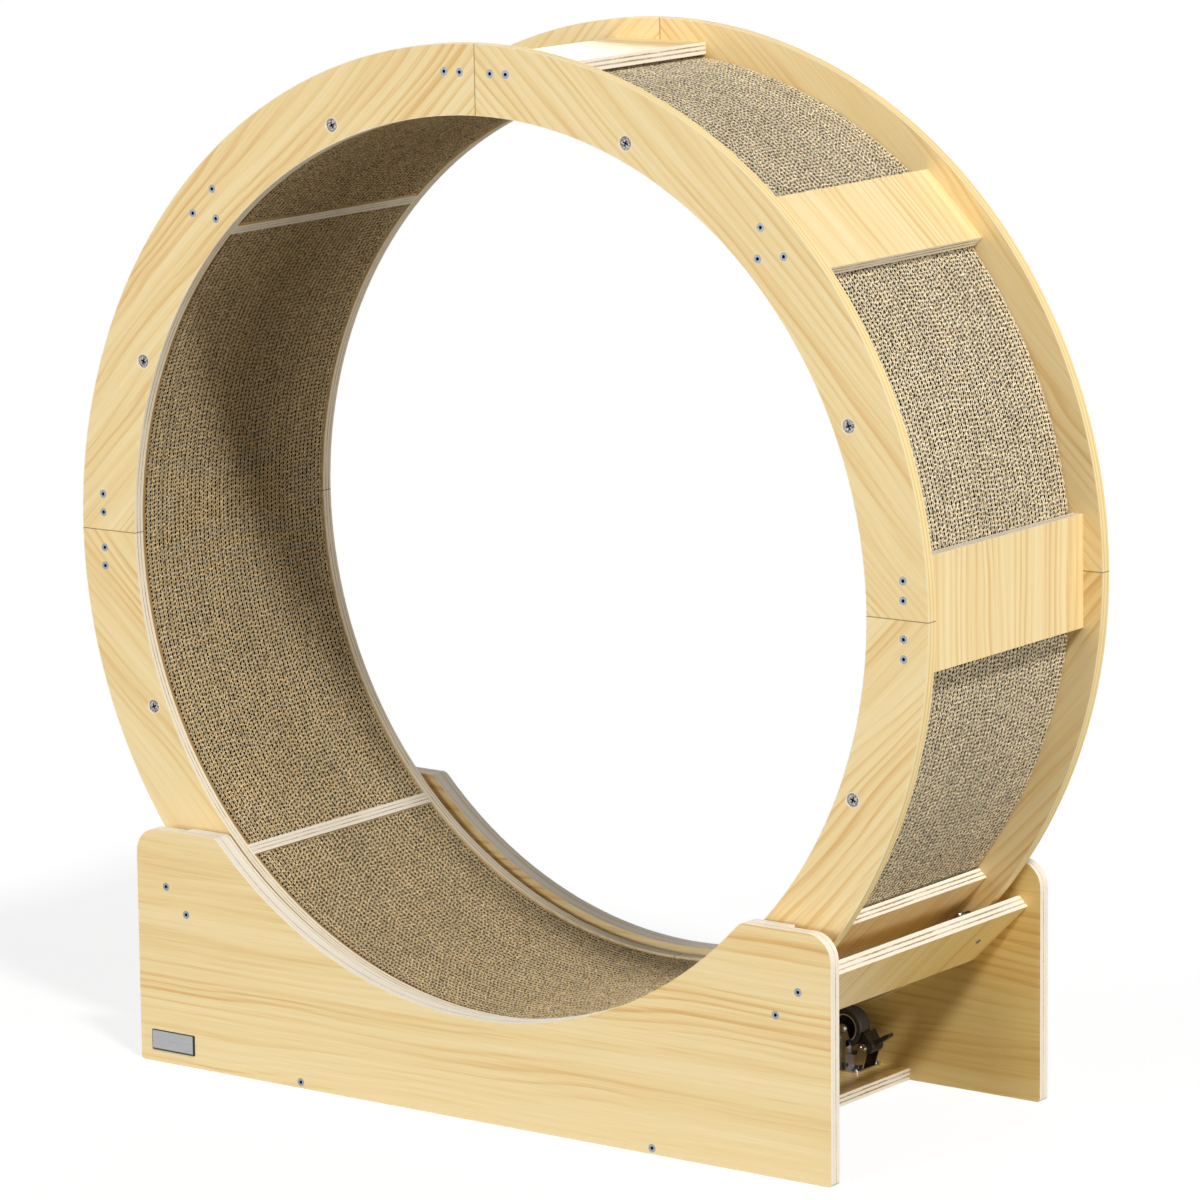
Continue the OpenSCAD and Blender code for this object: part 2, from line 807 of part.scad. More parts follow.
module guide_spacers() {
    color(steel_colour) for (side = [LEFT, RIGHT], end = [FRONT, REAR]) guide_axis(side, end)
        translate([0, 0, roller_out_r + side_gap]) difference() {
            cylinder(h = spacer_t - side_gap, r = spacer_r);
            translate([0, 0, -over]) cylinder(h = spacer_t + 2 * over, r = guide_r + fit);
        }
}

rim_arc(0, FRONT);  // front_rim_top_right
rim_arc(1, FRONT);  // front_rim_top_left
rim_arc(2, FRONT);  // front_rim_bottom_left
rim_arc(3, FRONT);  // front_rim_bottom_right
rim_arc(0, REAR);  // rear_rim_top_right
rim_arc(1, REAR);  // rear_rim_top_left
rim_arc(2, REAR);  // rear_rim_bottom_left
rim_arc(3, REAR);  // rear_rim_bottom_right
cross_board(0);  // cross_board_right
cross_board(1);  // cross_board_top_right
cross_board(2);  // cross_board_top
cross_board(3);  // cross_board_top_left
cross_board(4);  // cross_board_left
cross_board(5);  // cross_board_bottom_left
cross_board(6);  // cross_board_bottom
cross_board(7);  // cross_board_bottom_right
divider(0);  // divider_top_right
divider(1);  // divider_top_left
divider(2);  // divider_bottom_left
divider(3);  // divider_bottom_right
tread(0);  // tread_right
tread(1);  // tread_top
tread(2);  // tread_left
tread(3);  // tread_bottom
wheel_screws();
tie_bolts();
tie_nuts();
base_panel(FRONT);  // base_front_panel
base_panel(REAR);  // base_rear_panel
panel_liner(FRONT);  // panel_liner_front
panel_liner(REAR);  // panel_liner_rear
slanted_board(RIGHT);  // slanted_board_right
slanted_board(LEFT);  // slanted_board_left
floor_board();
base_screws();
name_plate();
bracket(RIGHT, FRONT);  // bracket_front_right
bracket(RIGHT, REAR);  // bracket_rear_right
bracket(LEFT, FRONT);  // bracket_front_left
bracket(LEFT, REAR);  // bracket_rear_left
caster_axles();
pedal_pins();
bracket_screws();
hub(RIGHT, FRONT);  // hub_front_right
hub(RIGHT, REAR);  // hub_rear_right
hub(LEFT, FRONT);  // hub_front_left
hub(LEFT, REAR);  // hub_rear_left
tyre(RIGHT, FRONT);  // tyre_front_right
tyre(RIGHT, REAR);  // tyre_rear_right
tyre(LEFT, FRONT);  // tyre_front_left
tyre(LEFT, REAR);  // tyre_rear_left
pedal(RIGHT, FRONT);  // pedal_front_right
pedal(RIGHT, REAR);  // pedal_rear_right
pedal(LEFT, FRONT);  // pedal_front_left
pedal(LEFT, REAR);  // pedal_rear_left
guide_screws();
guide_spacers();
roller(RIGHT, FRONT);  // roller_front_right
roller(RIGHT, REAR);  // roller_rear_right
roller(LEFT, FRONT);  // roller_front_left
roller(LEFT, REAR);  // roller_rear_left
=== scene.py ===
"""Looks of the cat exercise wheel: printed veneer boards, fluted cardboard treads, steel and rubber.

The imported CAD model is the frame. Its wooden, metal and rubber nodes stay and get their finishes here;
the four cardboard tread panels are replaced by panels with open flutes.
"""

import math

import bpy
import numpy as np
from bpy.props import FloatProperty, FloatVectorProperty, IntProperty, PointerProperty
from mathutils import Matrix, Vector


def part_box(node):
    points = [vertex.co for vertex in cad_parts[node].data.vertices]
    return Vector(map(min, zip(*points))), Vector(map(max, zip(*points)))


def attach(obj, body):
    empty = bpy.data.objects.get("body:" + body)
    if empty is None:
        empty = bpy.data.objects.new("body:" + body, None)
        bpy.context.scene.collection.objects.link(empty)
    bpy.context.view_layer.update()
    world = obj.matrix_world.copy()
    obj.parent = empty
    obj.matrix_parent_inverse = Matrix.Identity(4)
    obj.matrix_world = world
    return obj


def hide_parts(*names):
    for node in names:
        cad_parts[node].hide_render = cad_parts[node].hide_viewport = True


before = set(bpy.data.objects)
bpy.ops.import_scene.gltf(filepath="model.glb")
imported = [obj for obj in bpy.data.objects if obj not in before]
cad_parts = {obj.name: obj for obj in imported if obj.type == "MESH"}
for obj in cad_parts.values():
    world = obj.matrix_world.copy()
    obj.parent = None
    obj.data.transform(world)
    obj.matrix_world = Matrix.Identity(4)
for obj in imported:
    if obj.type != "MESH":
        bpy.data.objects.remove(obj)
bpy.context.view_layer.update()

bl_info = {
    "name": "Cat exercise wheel",
    "version": (1, 0, 0),
    "blender": (4, 5, 0),
    "location": "View3D > Sidebar > Cat wheel",
    "description": "Finishes and cardboard treads of a plywood cat exercise wheel",
    "category": "Object",
}

MM = 1000.0
ALONG_X, ALONG_Y, ALONG_Z = Vector((1, 0, 0)), Vector((0, 1, 0)), Vector((0, 0, 1))
QUARTERS = ("top_right", "top_left", "bottom_left", "bottom_right")
PLACES = ("right", "top_right", "top", "top_left", "left", "bottom_left", "bottom", "bottom_right")
CORNERS = ("front_right", "rear_right", "front_left", "rear_left")
ENDS = (("front", -1), ("rear", 1))

# The wheel as the CAD has it, in metres: its axle, and from there the tread's two surfaces, the backs of the
# pieces that carry them and the boards' faces. HALF_GAP is half of what a divider takes between two panels
AXLE = Vector((0.0, 0.0, 0.58))
SEAM_DEG = 0.5
RUNNING_RADIUS, OUTER_RADIUS = 0.478, 0.5132
RUNNING_BACK, OUTER_BACK = 0.4895, 0.5000
HALF_GAP = 0.0068
CROSS_BOARD_FACE, SLANTED_BOARD_FACE = 0.5265, 0.5713

# In millimetres, as the boards' materials count: a rim's radii, the boards' thicknesses, and the two bolts of
# a rim arc by their radius and their angle to each side of the arc's middle
RIM_RADII = (476.0, 550.0)
BOARD_THICK, SLANTED_THICK = 13.0, 15.0
BOLT_CIRCLE, BOLT_DEG = 494.75, 22.5

# Uncut strip of a tread side beside the front and the rear rim, and what the sheets leave free, in metres
RUNNING_STRIP, OUTER_STRIP = (0.0066, 0.0014), (0.0012, 0.0012)
CUT_MARGIN = 0.002

# Depths under a face, in metres: where a bolt's flat top ends, where its recess and a screw's socket are
# painted dark as shade
TOP_DEPTH, RECESS_DEPTH, SOCKET_DEPTH = (0.0001, 0.0002), (0.0007, 0.0009), 0.0006
HUB_RING = (0.0139, 0.0141)

# The photograph's camera, fitted to rims, seams, screws and corners: turns in radians, and shift of the view
CAMERA_YAW, CAMERA_PITCH, CAMERA_ROLL = 0.63568, 0.18614, -0.01109
CAMERA_SHIFT = (0.00994, -0.0045)

# First seed of each group of pieces, so that no two boards show the same print
SEEDS = {
    "rim": 11, "cross_board": 31, "divider": 51, "panel": 61, "liner": 63, "slanted": 71, "floor": 81,
    "tread": 101,
}


def linear(code):
    """An sRGB hex colour such as #F3E2B6 as linear red, green, blue and alpha."""
    shares = [int(code[i : i + 2], 16) / 255 for i in (1, 3, 5)]
    return tuple(s / 12.92 if s <= 0.04045 else ((s + 0.055) / 1.055) ** 2.4 for s in shares) + (1.0,)


def radial(deg):
    """The direction out from the wheel's axle at an angle from +X towards +Z."""
    return Vector((math.cos(math.radians(deg)), 0, math.sin(math.radians(deg))))


def tangent(deg):
    """The direction in which the wheel's rim runs at that angle."""
    return Vector((-math.sin(math.radians(deg)), 0, math.cos(math.radians(deg))))


def colour(name, code, text):
    """A colour that a user may change, from its sRGB hex value."""
    return FloatVectorProperty(
        name=name, description=text, subtype="COLOR", size=4, min=0.0, max=1.0, default=linear(code)
    )


def length(name, default, text):
    """A length that a user may change, in metres."""
    return FloatProperty(name=name, description=text, default=default, min=0.0, unit="LENGTH", precision=5)


# Sizes and colours that a user would change


class VeneerPrint(bpy.types.PropertyGroup):
    """The printed wood pattern of the boards' faces and the look of their bare edges."""

    pale: colour("Pale wood", "#F9E6B9", "Wood between the growth rings")
    middle: colour("Middle wood", "#F2D89E", "Wood inside a growth ring")
    streak: colour("Streak", "#DEAE66", "Darkest line of a growth ring")
    knot: colour("Knot", "#CC9F5C", "Middle of a small knot")
    ring: length("Ring spacing", 0.0115, "Mean distance between growth rings on a face")
    wander_len: length("Wander length", 0.50, "Length along the grain over which rings wander")
    wander_width: length("Wander width", 0.16, "Width across the grain over which rings wander")
    wander: length("Wander", 0.105, "How far rings wander to the side")
    fibre: length("Fibre width", 0.0008, "Width of the fine fibres, drawn as coarse as they need to show")
    ply: colour("Bare ply", "#F3E9D6", "Sanded light ply at an edge")
    rim_ply: colour("Bare rim ply", "#F8EBD2", "Sanded and oiled edge of the rims' inner side")
    glue: colour("Dark ply", "#977542", "Dark ply and glue line at an edge")
    band: colour("Edge band", "#F5DDA2", "Yellow band round the rims' outer edge")
    band_streak: colour("Edge band streak", "#DDB777", "Darker lines along the rims' outer edge")
    seam: colour("Seam", "#6B4A22", "Hairline where two rim arcs meet")


class Cardboard(bpy.types.PropertyGroup):
    """Sizes and colours of the stacked corrugated board of the treads."""

    flute: length("Flute", 0.0093, "Wavelength of the corrugation along the circumference")
    sheets: IntProperty(
        name="Sheets", description="Double-wall sheets over the wheel's width", default=44, min=8
    )
    wide_share: FloatProperty(
        name="Wide layer", description="Share of a sheet that its wide flutes take", default=0.6
    )
    depth: length("Flute depth", 0.0040, "How deep an open flute is modelled")
    liner: length("Liner", 0.00035, "Cut edge of a liner on each side of a layer")
    rough: length("Cut roughness", 0.0005, "How far cut edges stand up or back")
    edge: colour("Cut edge", "#DFCFAE", "Kraft paper at its cut edge")
    # Running side: darker and browner than the cut edge outside, which paints the shade inside the wheel
    wear_and_painted_light: colour("Running side", "#CFB78D", "Cut edge on the running side, browner from use")
    # Painted shadow deep inside the flutes
    inside: colour("Flute inside", "#130E08", "Dark inside of a flute")
    flat: colour("Flat side", "#AE8C55", "Uncut kraft paper on a stack's sides")
    ledge: length("Ledge depth", 0.0009, "How far the uncut strip beside the rims lies back")


class Metals(bpy.types.PropertyGroup):
    """Colours of the screws, bolts, brackets and the plate."""

    zinc: colour("Zinc", "#98A1AD", "Bright zinc plating of the wood screws")
    nickel: colour("Nickel", "#D2CECA", "Nickel plating of the tie bolts")
    chrome: colour("Chrome", "#C2C2C6", "Bright chrome of the caster brackets")
    plate: colour("Plate", "#ACACAE", "Bare brushed plate")
    # Dark border, which is also painted shade where it widens at the plate's right and bottom
    plate_border_and_shade: colour("Plate edge", "#4A4A4C", "Dark border of the plate")
    # Painted shade at the bottom of sockets and recesses
    hole: colour("Hole", "#15181E", "Bottom of a socket or cross recess")


class Blacks(bpy.types.PropertyGroup):
    """Colours of the rubber and plastic pieces."""

    tyre: colour("Tyre", "#3A342E", "Grey-black rubber")
    hub: colour("Hub", "#221E1B", "Black moulded hub")
    hub_ring: colour("Hub ring", "#D8D6D8", "Paler rim ring of the hub")
    pedal: colour("Pedal", "#2A2522", "Black moulded brake pedal")


def towards(name, default, text):
    """A direction from the wheel's middle."""
    return FloatVectorProperty(name=name, description=text, subtype="XYZ", size=3, default=default)


def spread_angle(name, degrees, text):
    """An angle, given in degrees."""
    return FloatProperty(name=name, description=text, default=math.radians(degrees), min=0.0, unit="ROTATION")


def level(name, default, text):
    """A strength of light."""
    return FloatProperty(name=name, description=text, default=default, min=0.0)


class Studio(bpy.types.PropertyGroup):
    """Floor, soft lamps and the photograph's camera.

    A level is the light on a surface that faces the lamp.
    """

    floor: colour("Floor", "#FFFFFF", "Plain pale floor, as it is seen")
    bounce: colour("Floor bounce", "#A39F98", "Floor colour for the light that it throws back on the object")
    glow: level("Floor glow", 0.84, "Share of the floor's white that no shadow takes away")
    floor_light: level("Floor light", 0.80, "Light on the open floor, which its shown white is divided by")
    key_from: towards("Key from", (0.558, -0.316, 0.767), "Direction of the key lamp")
    key_soft: spread_angle("Key softness", 7.0, "How wide the key lamp looks from the object")
    key_level: level("Key level", 0.69, "Light of the key lamp")
    front_from: towards("Front from", (-0.18, -0.97, 0.10), "Direction of the front lamp")
    front_soft: spread_angle("Front softness", 40.0, "How wide the front lamp looks from the object")
    front_level: level("Front level", 0.70, "Light of the front lamp")
    side_from: towards("Side from", (1.0, 0.0, 0.08), "Direction of the side lamp")
    side_soft: spread_angle("Side softness", 24.0, "How wide the side lamp looks from the object")
    side_level: level("Side level", 0.53, "Light of the side lamp")
    back_from: towards("Back from", (-0.45, 0.89, 0.04), "Direction of the back lamp, behind the object")
    back_soft: spread_angle("Back softness", 40.0, "How wide the back lamp looks from the object")
    back_level: level("Back level", 0.62, "Light of the back lamp")
    ambient: level("Ambient", 0.08, "Strength of the even studio light")
    camera_place: FloatVectorProperty(
        name="Camera", description="Place of the camera", subtype="TRANSLATION", size=3,
        default=(3.8808, -5.2493, 1.7596)
    )
    lens: FloatProperty(name="Lens", description="Focal length in millimetres", default=187.76)

# Shader nodes


def new_material(name):
    """An empty node material and its Principled shader, already on the output."""
    material = bpy.data.materials.new(name)
    material.use_nodes = True
    material.node_tree.nodes.clear()
    shader = add(material, "BsdfPrincipled")
    add(material, "OutputMaterial", {"Surface": shader})
    return material, shader


def add(owner, kind, sockets=(), **settings):
    """Adds one shader node with its settings and fills its input sockets, by name or number or in order."""
    node = owner.node_tree.nodes.new("ShaderNode" + kind)
    for name, value in settings.items():
        setattr(node, name, value)
    feed(owner, node, sockets if isinstance(sockets, dict) else dict(enumerate(sockets)))
    return node


def feed(owner, node, sockets):
    """Fills a node's input sockets, each with a value, a socket, or a node for its first output in use."""
    for key, value in sockets.items():
        if isinstance(value, bpy.types.Node):
            value = next(output for output in value.outputs if output.enabled)
        if isinstance(value, bpy.types.NodeSocket):
            owner.node_tree.links.new(value, node.inputs[key])
        else:
            node.inputs[key].default_value = value


SOFT = {"interpolation_type": "SMOOTHSTEP"}


def mottled(m, skin, pattern, darkest, lightest, top=0.7):
    """A colour that a noise pattern makes darker where it is low and lighter where it is high."""
    tone = add(m, "MapRange", (pattern, 0.3, top, darkest, lightest))
    return add(m, "VectorMath", {0: skin[:3], "Scale": tone}, operation="SCALE")


def off_axle(m, middle):
    """How far a point lies from the line along Y through middle."""
    spot = add(m, "TexCoord").outputs["Object"]
    off = add(m, "VectorMath", (spot, middle), operation="SUBTRACT")
    off = add(m, "VectorMath", (off, (1, 0, 1)), operation="MULTIPLY")
    return add(m, "VectorMath", (off,), operation="LENGTH")


# Plywood


def board_axes(m, origin, along, across, through):
    """Millimetres along and across the grain and through the board.

    The fourth value says how squarely the surface faces through the board: 1 on its faces, 0 on its edges.
    """
    coordinates = add(m, "TexCoord").outputs
    from_origin = add(m, "VectorMath", (coordinates["Object"], origin), operation="SUBTRACT")
    spots = [
        add(m, "VectorMath", (from_origin, axis * MM), operation="DOT_PRODUCT")
        for axis in (along, across, through)
    ]
    facing = add(m, "VectorMath", (coordinates["Normal"], through), operation="DOT_PRODUCT")
    return (*spots, add(m, "Math", (facing,), operation="ABSOLUTE"))


def wood_print(m, along, across, seed, looks):
    """Colour and fibre height of the printed veneer, from millimetres along and across the grain.

    Rotary-cut pale wood: soft rings that wander, close up round small knots and fade on one side.
    """
    ring, wander = looks.ring * MM, looks.wander * MM
    spot = add(m, "CombineXYZ", (along, across, seed * 517.0))

    def at(long, wide):
        """The place on the board, counted in a length along the grain and a width across it."""
        return add(m, "VectorMath", (spot, (1 / long, 1 / wide, 0.01)), operation="MULTIPLY")

    drift = add(m, "TexNoise", {
        "Vector": at(looks.wander_len * MM, looks.wander_width * MM), "Scale": 1.0,
        "Detail": 2.6, "Roughness": 0.38,
    })
    # Small knots, far apart: rings bend round them and their middle is darker
    knots = add(m, "TexVoronoi", {"Vector": at(430.0, 150.0), "Scale": 1.0, "Randomness": 1.0})
    pull = add(m, "MapRange", (knots, 0.0, 0.17, 1.0, 0.0), **SOFT)
    core = add(m, "MapRange", (knots, 0.004, 0.022, 0.45, 0.0), **SOFT)
    bend = add(m, "Math", (drift, 0.5), operation="SUBTRACT")
    moved = add(m, "Math", (bend, wander, across), operation="MULTIPLY_ADD")
    moved = add(m, "Math", (pull, ring * 1.3, moved), operation="MULTIPLY_ADD")
    rings = add(m, "Math", (moved, ring), operation="DIVIDE")
    far = add(m, "Math", (along, 420.0), operation="DIVIDE")
    grain_at = add(m, "CombineXYZ", (far, rings, seed * 3.7))
    broad = add(m, "TexNoise", {"Vector": grain_at, "Scale": 0.42, "Detail": 3.0, "Roughness": 0.55})
    broad = add(m, "MapRange", (broad, 0.34, 0.66, 0.0, 1.0), **SOFT)
    # Growth rings: each line is sharp on one side and fades on the other, and comes and goes
    crowd = add(m, "TexNoise", {"Vector": grain_at, "Scale": 0.23})
    count = add(m, "Math", (crowd, 3.2, rings), operation="MULTIPLY_ADD")
    turn = add(m, "Math", (count,), operation="FRACT")
    rise = add(m, "MapRange", (turn, 0.0, 0.16, 0.0, 1.0), **SOFT)
    fade = add(m, "MapRange", (turn, 0.16, 0.70, 1.0, 0.0), **SOFT)
    line = add(m, "Math", (rise, fade), operation="MULTIPLY")
    strength = add(m, "TexNoise", {"Vector": at(620.0, 55.0), "Scale": 1.0, "Detail": 1.0})
    strength = add(m, "MapRange", (strength, 0.34, 0.66, 0.10, 0.74), **SOFT)
    line = add(m, "Math", (line, strength), operation="MULTIPLY")
    # Narrow streaks and fine fibres along the grain
    narrow = add(m, "TexNoise", {"Vector": at(300.0, 2.8), "Scale": 1.0, "Roughness": 0.6})
    fine = at(60.0, looks.fibre * MM)
    fibres = add(m, "TexNoise", {"Vector": fine, "Scale": 1.0, "Detail": 1.5, "Roughness": 0.6})
    # Each pattern darkens the wood by its share
    dark = add(m, "Math", (broad, 0.28, 0.21), operation="MULTIPLY_ADD")
    dark = add(m, "Math", (line, 0.56, dark), operation="MULTIPLY_ADD")
    for pattern, share in ((narrow, 0.55), (fibres, 0.48)):
        off = add(m, "Math", (pattern, 0.5), operation="SUBTRACT")
        dark = add(m, "Math", (off, share, dark), operation="MULTIPLY_ADD")
    ramp = add(m, "ValToRGB", (dark,))
    stops = ramp.color_ramp.elements
    stops[0].position, stops[0].color = 0.0, looks.pale
    stops[1].position, stops[1].color = 1.0, looks.streak
    stops.new(0.42).color = looks.middle
    return add(m, "Mix", {0: core, 6: ramp, 7: looks.knot}, data_type="RGBA"), fibres


def ply_edge(m, axes, thick, plies, bare, looks):
    """Colour of a bare sanded edge: light plies parted by thin dark ones, broken by end grain."""
    along, across, through, _ = axes
    spot = add(m, "CombineXYZ", (along, across, through))
    run = add(m, "TexNoise", {"Vector": spot, "Scale": 1 / 34.0, "Detail": 3.0, "Roughness": 0.6})
    bend = add(m, "Math", (run, 0.5), operation="SUBTRACT")
    depth = add(m, "Math", (bend, 1.1, through), operation="MULTIPLY_ADD")
    flecks = add(m, "TexNoise", {"Vector": spot, "Scale": 1 / 2.6, "Detail": 3.0, "Roughness": 0.7})
    broken = add(m, "MapRange", (run, 0.36, 0.60, 0.35, 1.0))
    dark = add(m, "MapRange", (flecks, 0.58, 0.74, 0.0, 0.18))
    for share, half, strength in plies:
        off = add(m, "Math", (depth, thick * share), operation="SUBTRACT")
        off = add(m, "Math", (off,), operation="ABSOLUTE")
        reach = add(m, "MapRange", (flecks, 0.3, 0.7, half * 0.5, half * 1.4))
        full = add(m, "Math", (reach, 0.45), operation="MULTIPLY")
        one = add(m, "MapRange", (off, full, reach, strength, 0.0), **SOFT)
        one = add(m, "Math", (one, broken), operation="MULTIPLY")
        dark = add(m, "Math", (dark, one), operation="MAXIMUM")
    return add(m, "Mix", {0: dark, 6: bare, 7: looks.glue}, data_type="RGBA")


# Dark plies of a board: depth as a share of its thickness, half width in millimetres, strength
PANEL_PLIES = ((0.30, 0.35, 0.45), (0.58, 0.60, 0.95), (0.80, 0.30, 0.35))
LINER_PLIES = ((0.62, 0.50, 0.70),)
BOARD_PLIES = ((0.30, 1.05, 0.90), (0.66, 1.20, 0.90))
THIN_PLIES = ((0.32, 0.60, 0.70), (0.66, 0.80, 0.75))
RIM_PLIES = ((0.30, 0.65, 0.80), (0.66, 0.80, 0.80))

# Tints of the faces: as printed, and a deeper yellow that paints the shade of the faces inside the base
PLAIN, SHADE_TINT = (1.0, 1.0, 1.0), (0.97, 0.90, 0.64)


def rim_wear_and_highlights(m, axes, thick, rim, face, edge, looks):
    """A rim arc's face, paler at the arrises from wear and a painted highlight, with a pale ring round the
    bolts, and its edge with a yellow band round the outside.
    """
    flat = add(m, "CombineXYZ", (axes[0], axes[1]))
    out = add(m, "VectorMath", (flat,), operation="LENGTH")
    # Two soft lines run round the yellow band, a quarter of the thickness in from each face
    stripe = axes[2]
    for middle in (thick / 2, thick * 0.22):
        stripe = add(m, "Math", (stripe, middle), operation="SUBTRACT")
        stripe = add(m, "Math", (stripe,), operation="ABSOLUTE")
    reach = add(m, "TexNoise", {"Vector": flat, "Scale": 1 / 90.0})
    reach = add(m, "MapRange", (reach, 0.3, 0.7, 0.6, 2.6))
    stripe = add(m, "MapRange", (stripe, 0.0, reach, 0.7, 0.0), **SOFT)
    band = add(m, "Mix", {0: stripe, 6: looks.band, 7: looks.band_streak}, data_type="RGBA")
    inner, outer = rim
    halfway = (inner + outer) / 2
    is_outer = add(m, "MapRange", (out, halfway - 1, halfway + 1, 0.0, 1.0))
    edge = add(m, "Mix", {0: is_outer, 6: edge, 7: band}, data_type="RGBA")
    # The last millimetre of both arrises is paler: bare ply where the print is rubbed off, and a painted
    # highlight of the rounded arris
    outer_arris_wear_and_highlight = add(m, "MapRange", (out, outer - 1.2, outer - 0.5, 0.0, 0.75))
    inner_arris_wear_and_highlight = add(m, "MapRange", (out, inner + 0.5, inner + 1.0, 0.6, 0.0))
    wear_and_painted_light = add(m, "Math", (outer_arris_wear_and_highlight, inner_arris_wear_and_highlight), operation="MAXIMUM")
    face = add(m, "Mix", {0: wear_and_painted_light, 6: face, 7: looks.ply}, data_type="RGBA")
    # A pale ring of bare ply colour round the two bolt holes of an arc
    turn = math.radians(BOLT_DEG)
    hole = (BOLT_CIRCLE * math.sin(turn), BOLT_CIRCLE * math.cos(turn), 0.0)
    off_middle = add(m, "Math", (axes[0],), operation="ABSOLUTE")
    near = add(m, "CombineXYZ", (off_middle, axes[1]))
    near = add(m, "VectorMath", (near, hole), operation="SUBTRACT")
    near = add(m, "VectorMath", (near,), operation="LENGTH")
    bolt_ring = add(m, "MapRange", (near, 8.0, 8.7, 0.85, 0.0))
    return add(m, "Mix", {0: bolt_ring, 6: face, 7: looks.ply}, data_type="RGBA"), edge


def veneer(
    node, origin, along, across, through, thick, seed, plies=THIN_PLIES, rim=None, gloss=0.42, face_tints=None
):
    """Gives a board plywood faced with a printed wood film, satin lacquered; sawn and sanded edges left bare.

    The eye sees pale yellow wood with soft streaks, a faint sheen, and striped cream edges. rim holds the
    inner and outer radius of a rim arc, whose outer edge has a yellow band and whose ends show a seam. The
    last argument holds two tints of red, green and blue, for the film on the first face and on the face
    behind it; the deeper yellow one is painted shade.
    """
    looks = bpy.context.scene.cat_wheel_veneer
    m, shader = new_material(f"veneered_ply_{node}")
    axes = board_axes(m, origin, along, across, through)
    face, fibres = wood_print(m, axes[0], axes[1], seed, looks)
    # The deeper yellow tint paints the shade of faces inside the base
    if face_tints:
        behind = add(m, "MapRange", (axes[2], thick * 0.4, thick * 0.6, 0.0, 1.0))
        tint = add(m, "Mix", {0: behind, 6: (*face_tints[0], 1.0), 7: (*face_tints[1], 1.0)}, data_type="RGBA")
        face = add(m, "VectorMath", (face, tint), operation="MULTIPLY")
    edge = ply_edge(m, axes, thick, plies, looks.rim_ply if rim else looks.ply, looks)
    if rim:
        face, edge = rim_wear_and_highlights(m, axes, thick, rim, face, edge, looks)
    is_edge = add(m, "MapRange", (axes[3], 0.5, 0.8, 1.0, 0.0))
    skin = add(m, "Mix", {0: is_edge, 6: face, 7: edge}, data_type="RGBA")
    if rim:
        # Dark hairline where two arcs meet
        seam = add(m, "Math", (axes[0],), operation="ABSOLUTE")
        seam = add(m, "Math", (axes[1], seam), operation="SUBTRACT")
        seam = add(m, "MapRange", (seam, 0.45, 0.95, 0.8, 0.0))
        skin = add(m, "Mix", {0: seam, 6: skin, 7: looks.seam}, data_type="RGBA")
    feed(m, shader, {
        "Base Color": skin, "IOR": 1.5, "Specular IOR Level": 0.4,
        "Roughness": add(m, "MapRange", (is_edge, 0.0, 1.0, gloss, 0.72)),
        "Normal": add(m, "Bump", {"Strength": 0.2, "Distance": 0.0001, "Height": fibres}),
    })
    finish(node, m)


def outer_face(node, sign):
    """Where along Y an upright board has its outer face, in metres, and its thickness in millimetres."""
    low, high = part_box(node)
    return (low.y if sign < 0 else high.y), (high.y - low.y) * MM


def finish(node, material):
    """Gives a CAD node one material in all its slots."""
    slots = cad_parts[node].material_slots
    if not slots:
        raise RuntimeError(f"{node} has no material slot")
    for slot in slots:
        slot.material = material


# Metal and plastic


def plated_metal(name, skin, rough, hole=None):
    """Plated steel, tumbled bright: a clear metal with faint mottling; sockets and recesses are painted dark as
    shade.

    hole is a function that gives a mask which is 1 at the bottom of a recess.
    """
    looks = bpy.context.scene.cat_wheel_metals
    m, shader = new_material(name)
    spot = add(m, "TexCoord").outputs["Object"]
    mottle = add(m, "TexNoise", {"Vector": spot, "Scale": 900.0, "Detail": 3.0, "Roughness": 0.6})
    shade = mottled(m, skin, mottle, 0.88, 1.0)
    if hole:
        shade = add(m, "Mix", {0: hole(m, spot), 6: shade, 7: looks.hole}, data_type="RGBA")
    feed(m, shader, {
        "Base Color": shade, "Metallic": 1.0,
        "Roughness": add(m, "MapRange", (mottle, 0.3, 0.7, rough * 0.8, rough * 1.3)),
        "Normal": add(m, "Bump", {"Strength": 0.15, "Distance": 0.0001, "Height": mottle}),
    })
    return m


def dished(face):
    """A mask maker for bolt heads whose flat tops lie at y = +face or -face.

    It marks painted shade: 1 in the recess, part on the flat top in noisy patches, and 0 on the bevel, which
    stays bright.
    """

    def mask(m, spot):
        away = add(m, "SeparateXYZ", (spot,)).outputs[1]
        away = add(m, "Math", (away,), operation="ABSOLUTE")
        recess = add(m, "MapRange", (away, face - RECESS_DEPTH[1], face - RECESS_DEPTH[0], 1.0, 0.0))
        top = add(m, "MapRange", (away, face - TOP_DEPTH[1], face - TOP_DEPTH[0], 0.0, 1.0))
        # Noise breaks the flat top's painted shade into patches
        wear_and_painted_light = add(m, "TexNoise", {"Vector": spot, "Scale": 420.0})
        wear_and_painted_light = add(m, "MapRange", (wear_and_painted_light, 0.38, 0.62, 0.10, 0.80))
        top = add(m, "Math", (top, wear_and_painted_light), operation="MULTIPLY")
        return add(m, "Math", (recess, top), operation="MAXIMUM")

    return mask


def below_face(face, depth):
    """A mask maker for painted shade: 1 where a surface lies more than depth under the faces at y = +face and
    -face.
    """

    def mask(m, spot):
        away = add(m, "SeparateXYZ", (spot,)).outputs[1]
        away = add(m, "Math", (away,), operation="ABSOLUTE")
        return add(m, "MapRange", (away, face - depth, face - depth + 0.0002, 1.0, 0.0))

    return mask


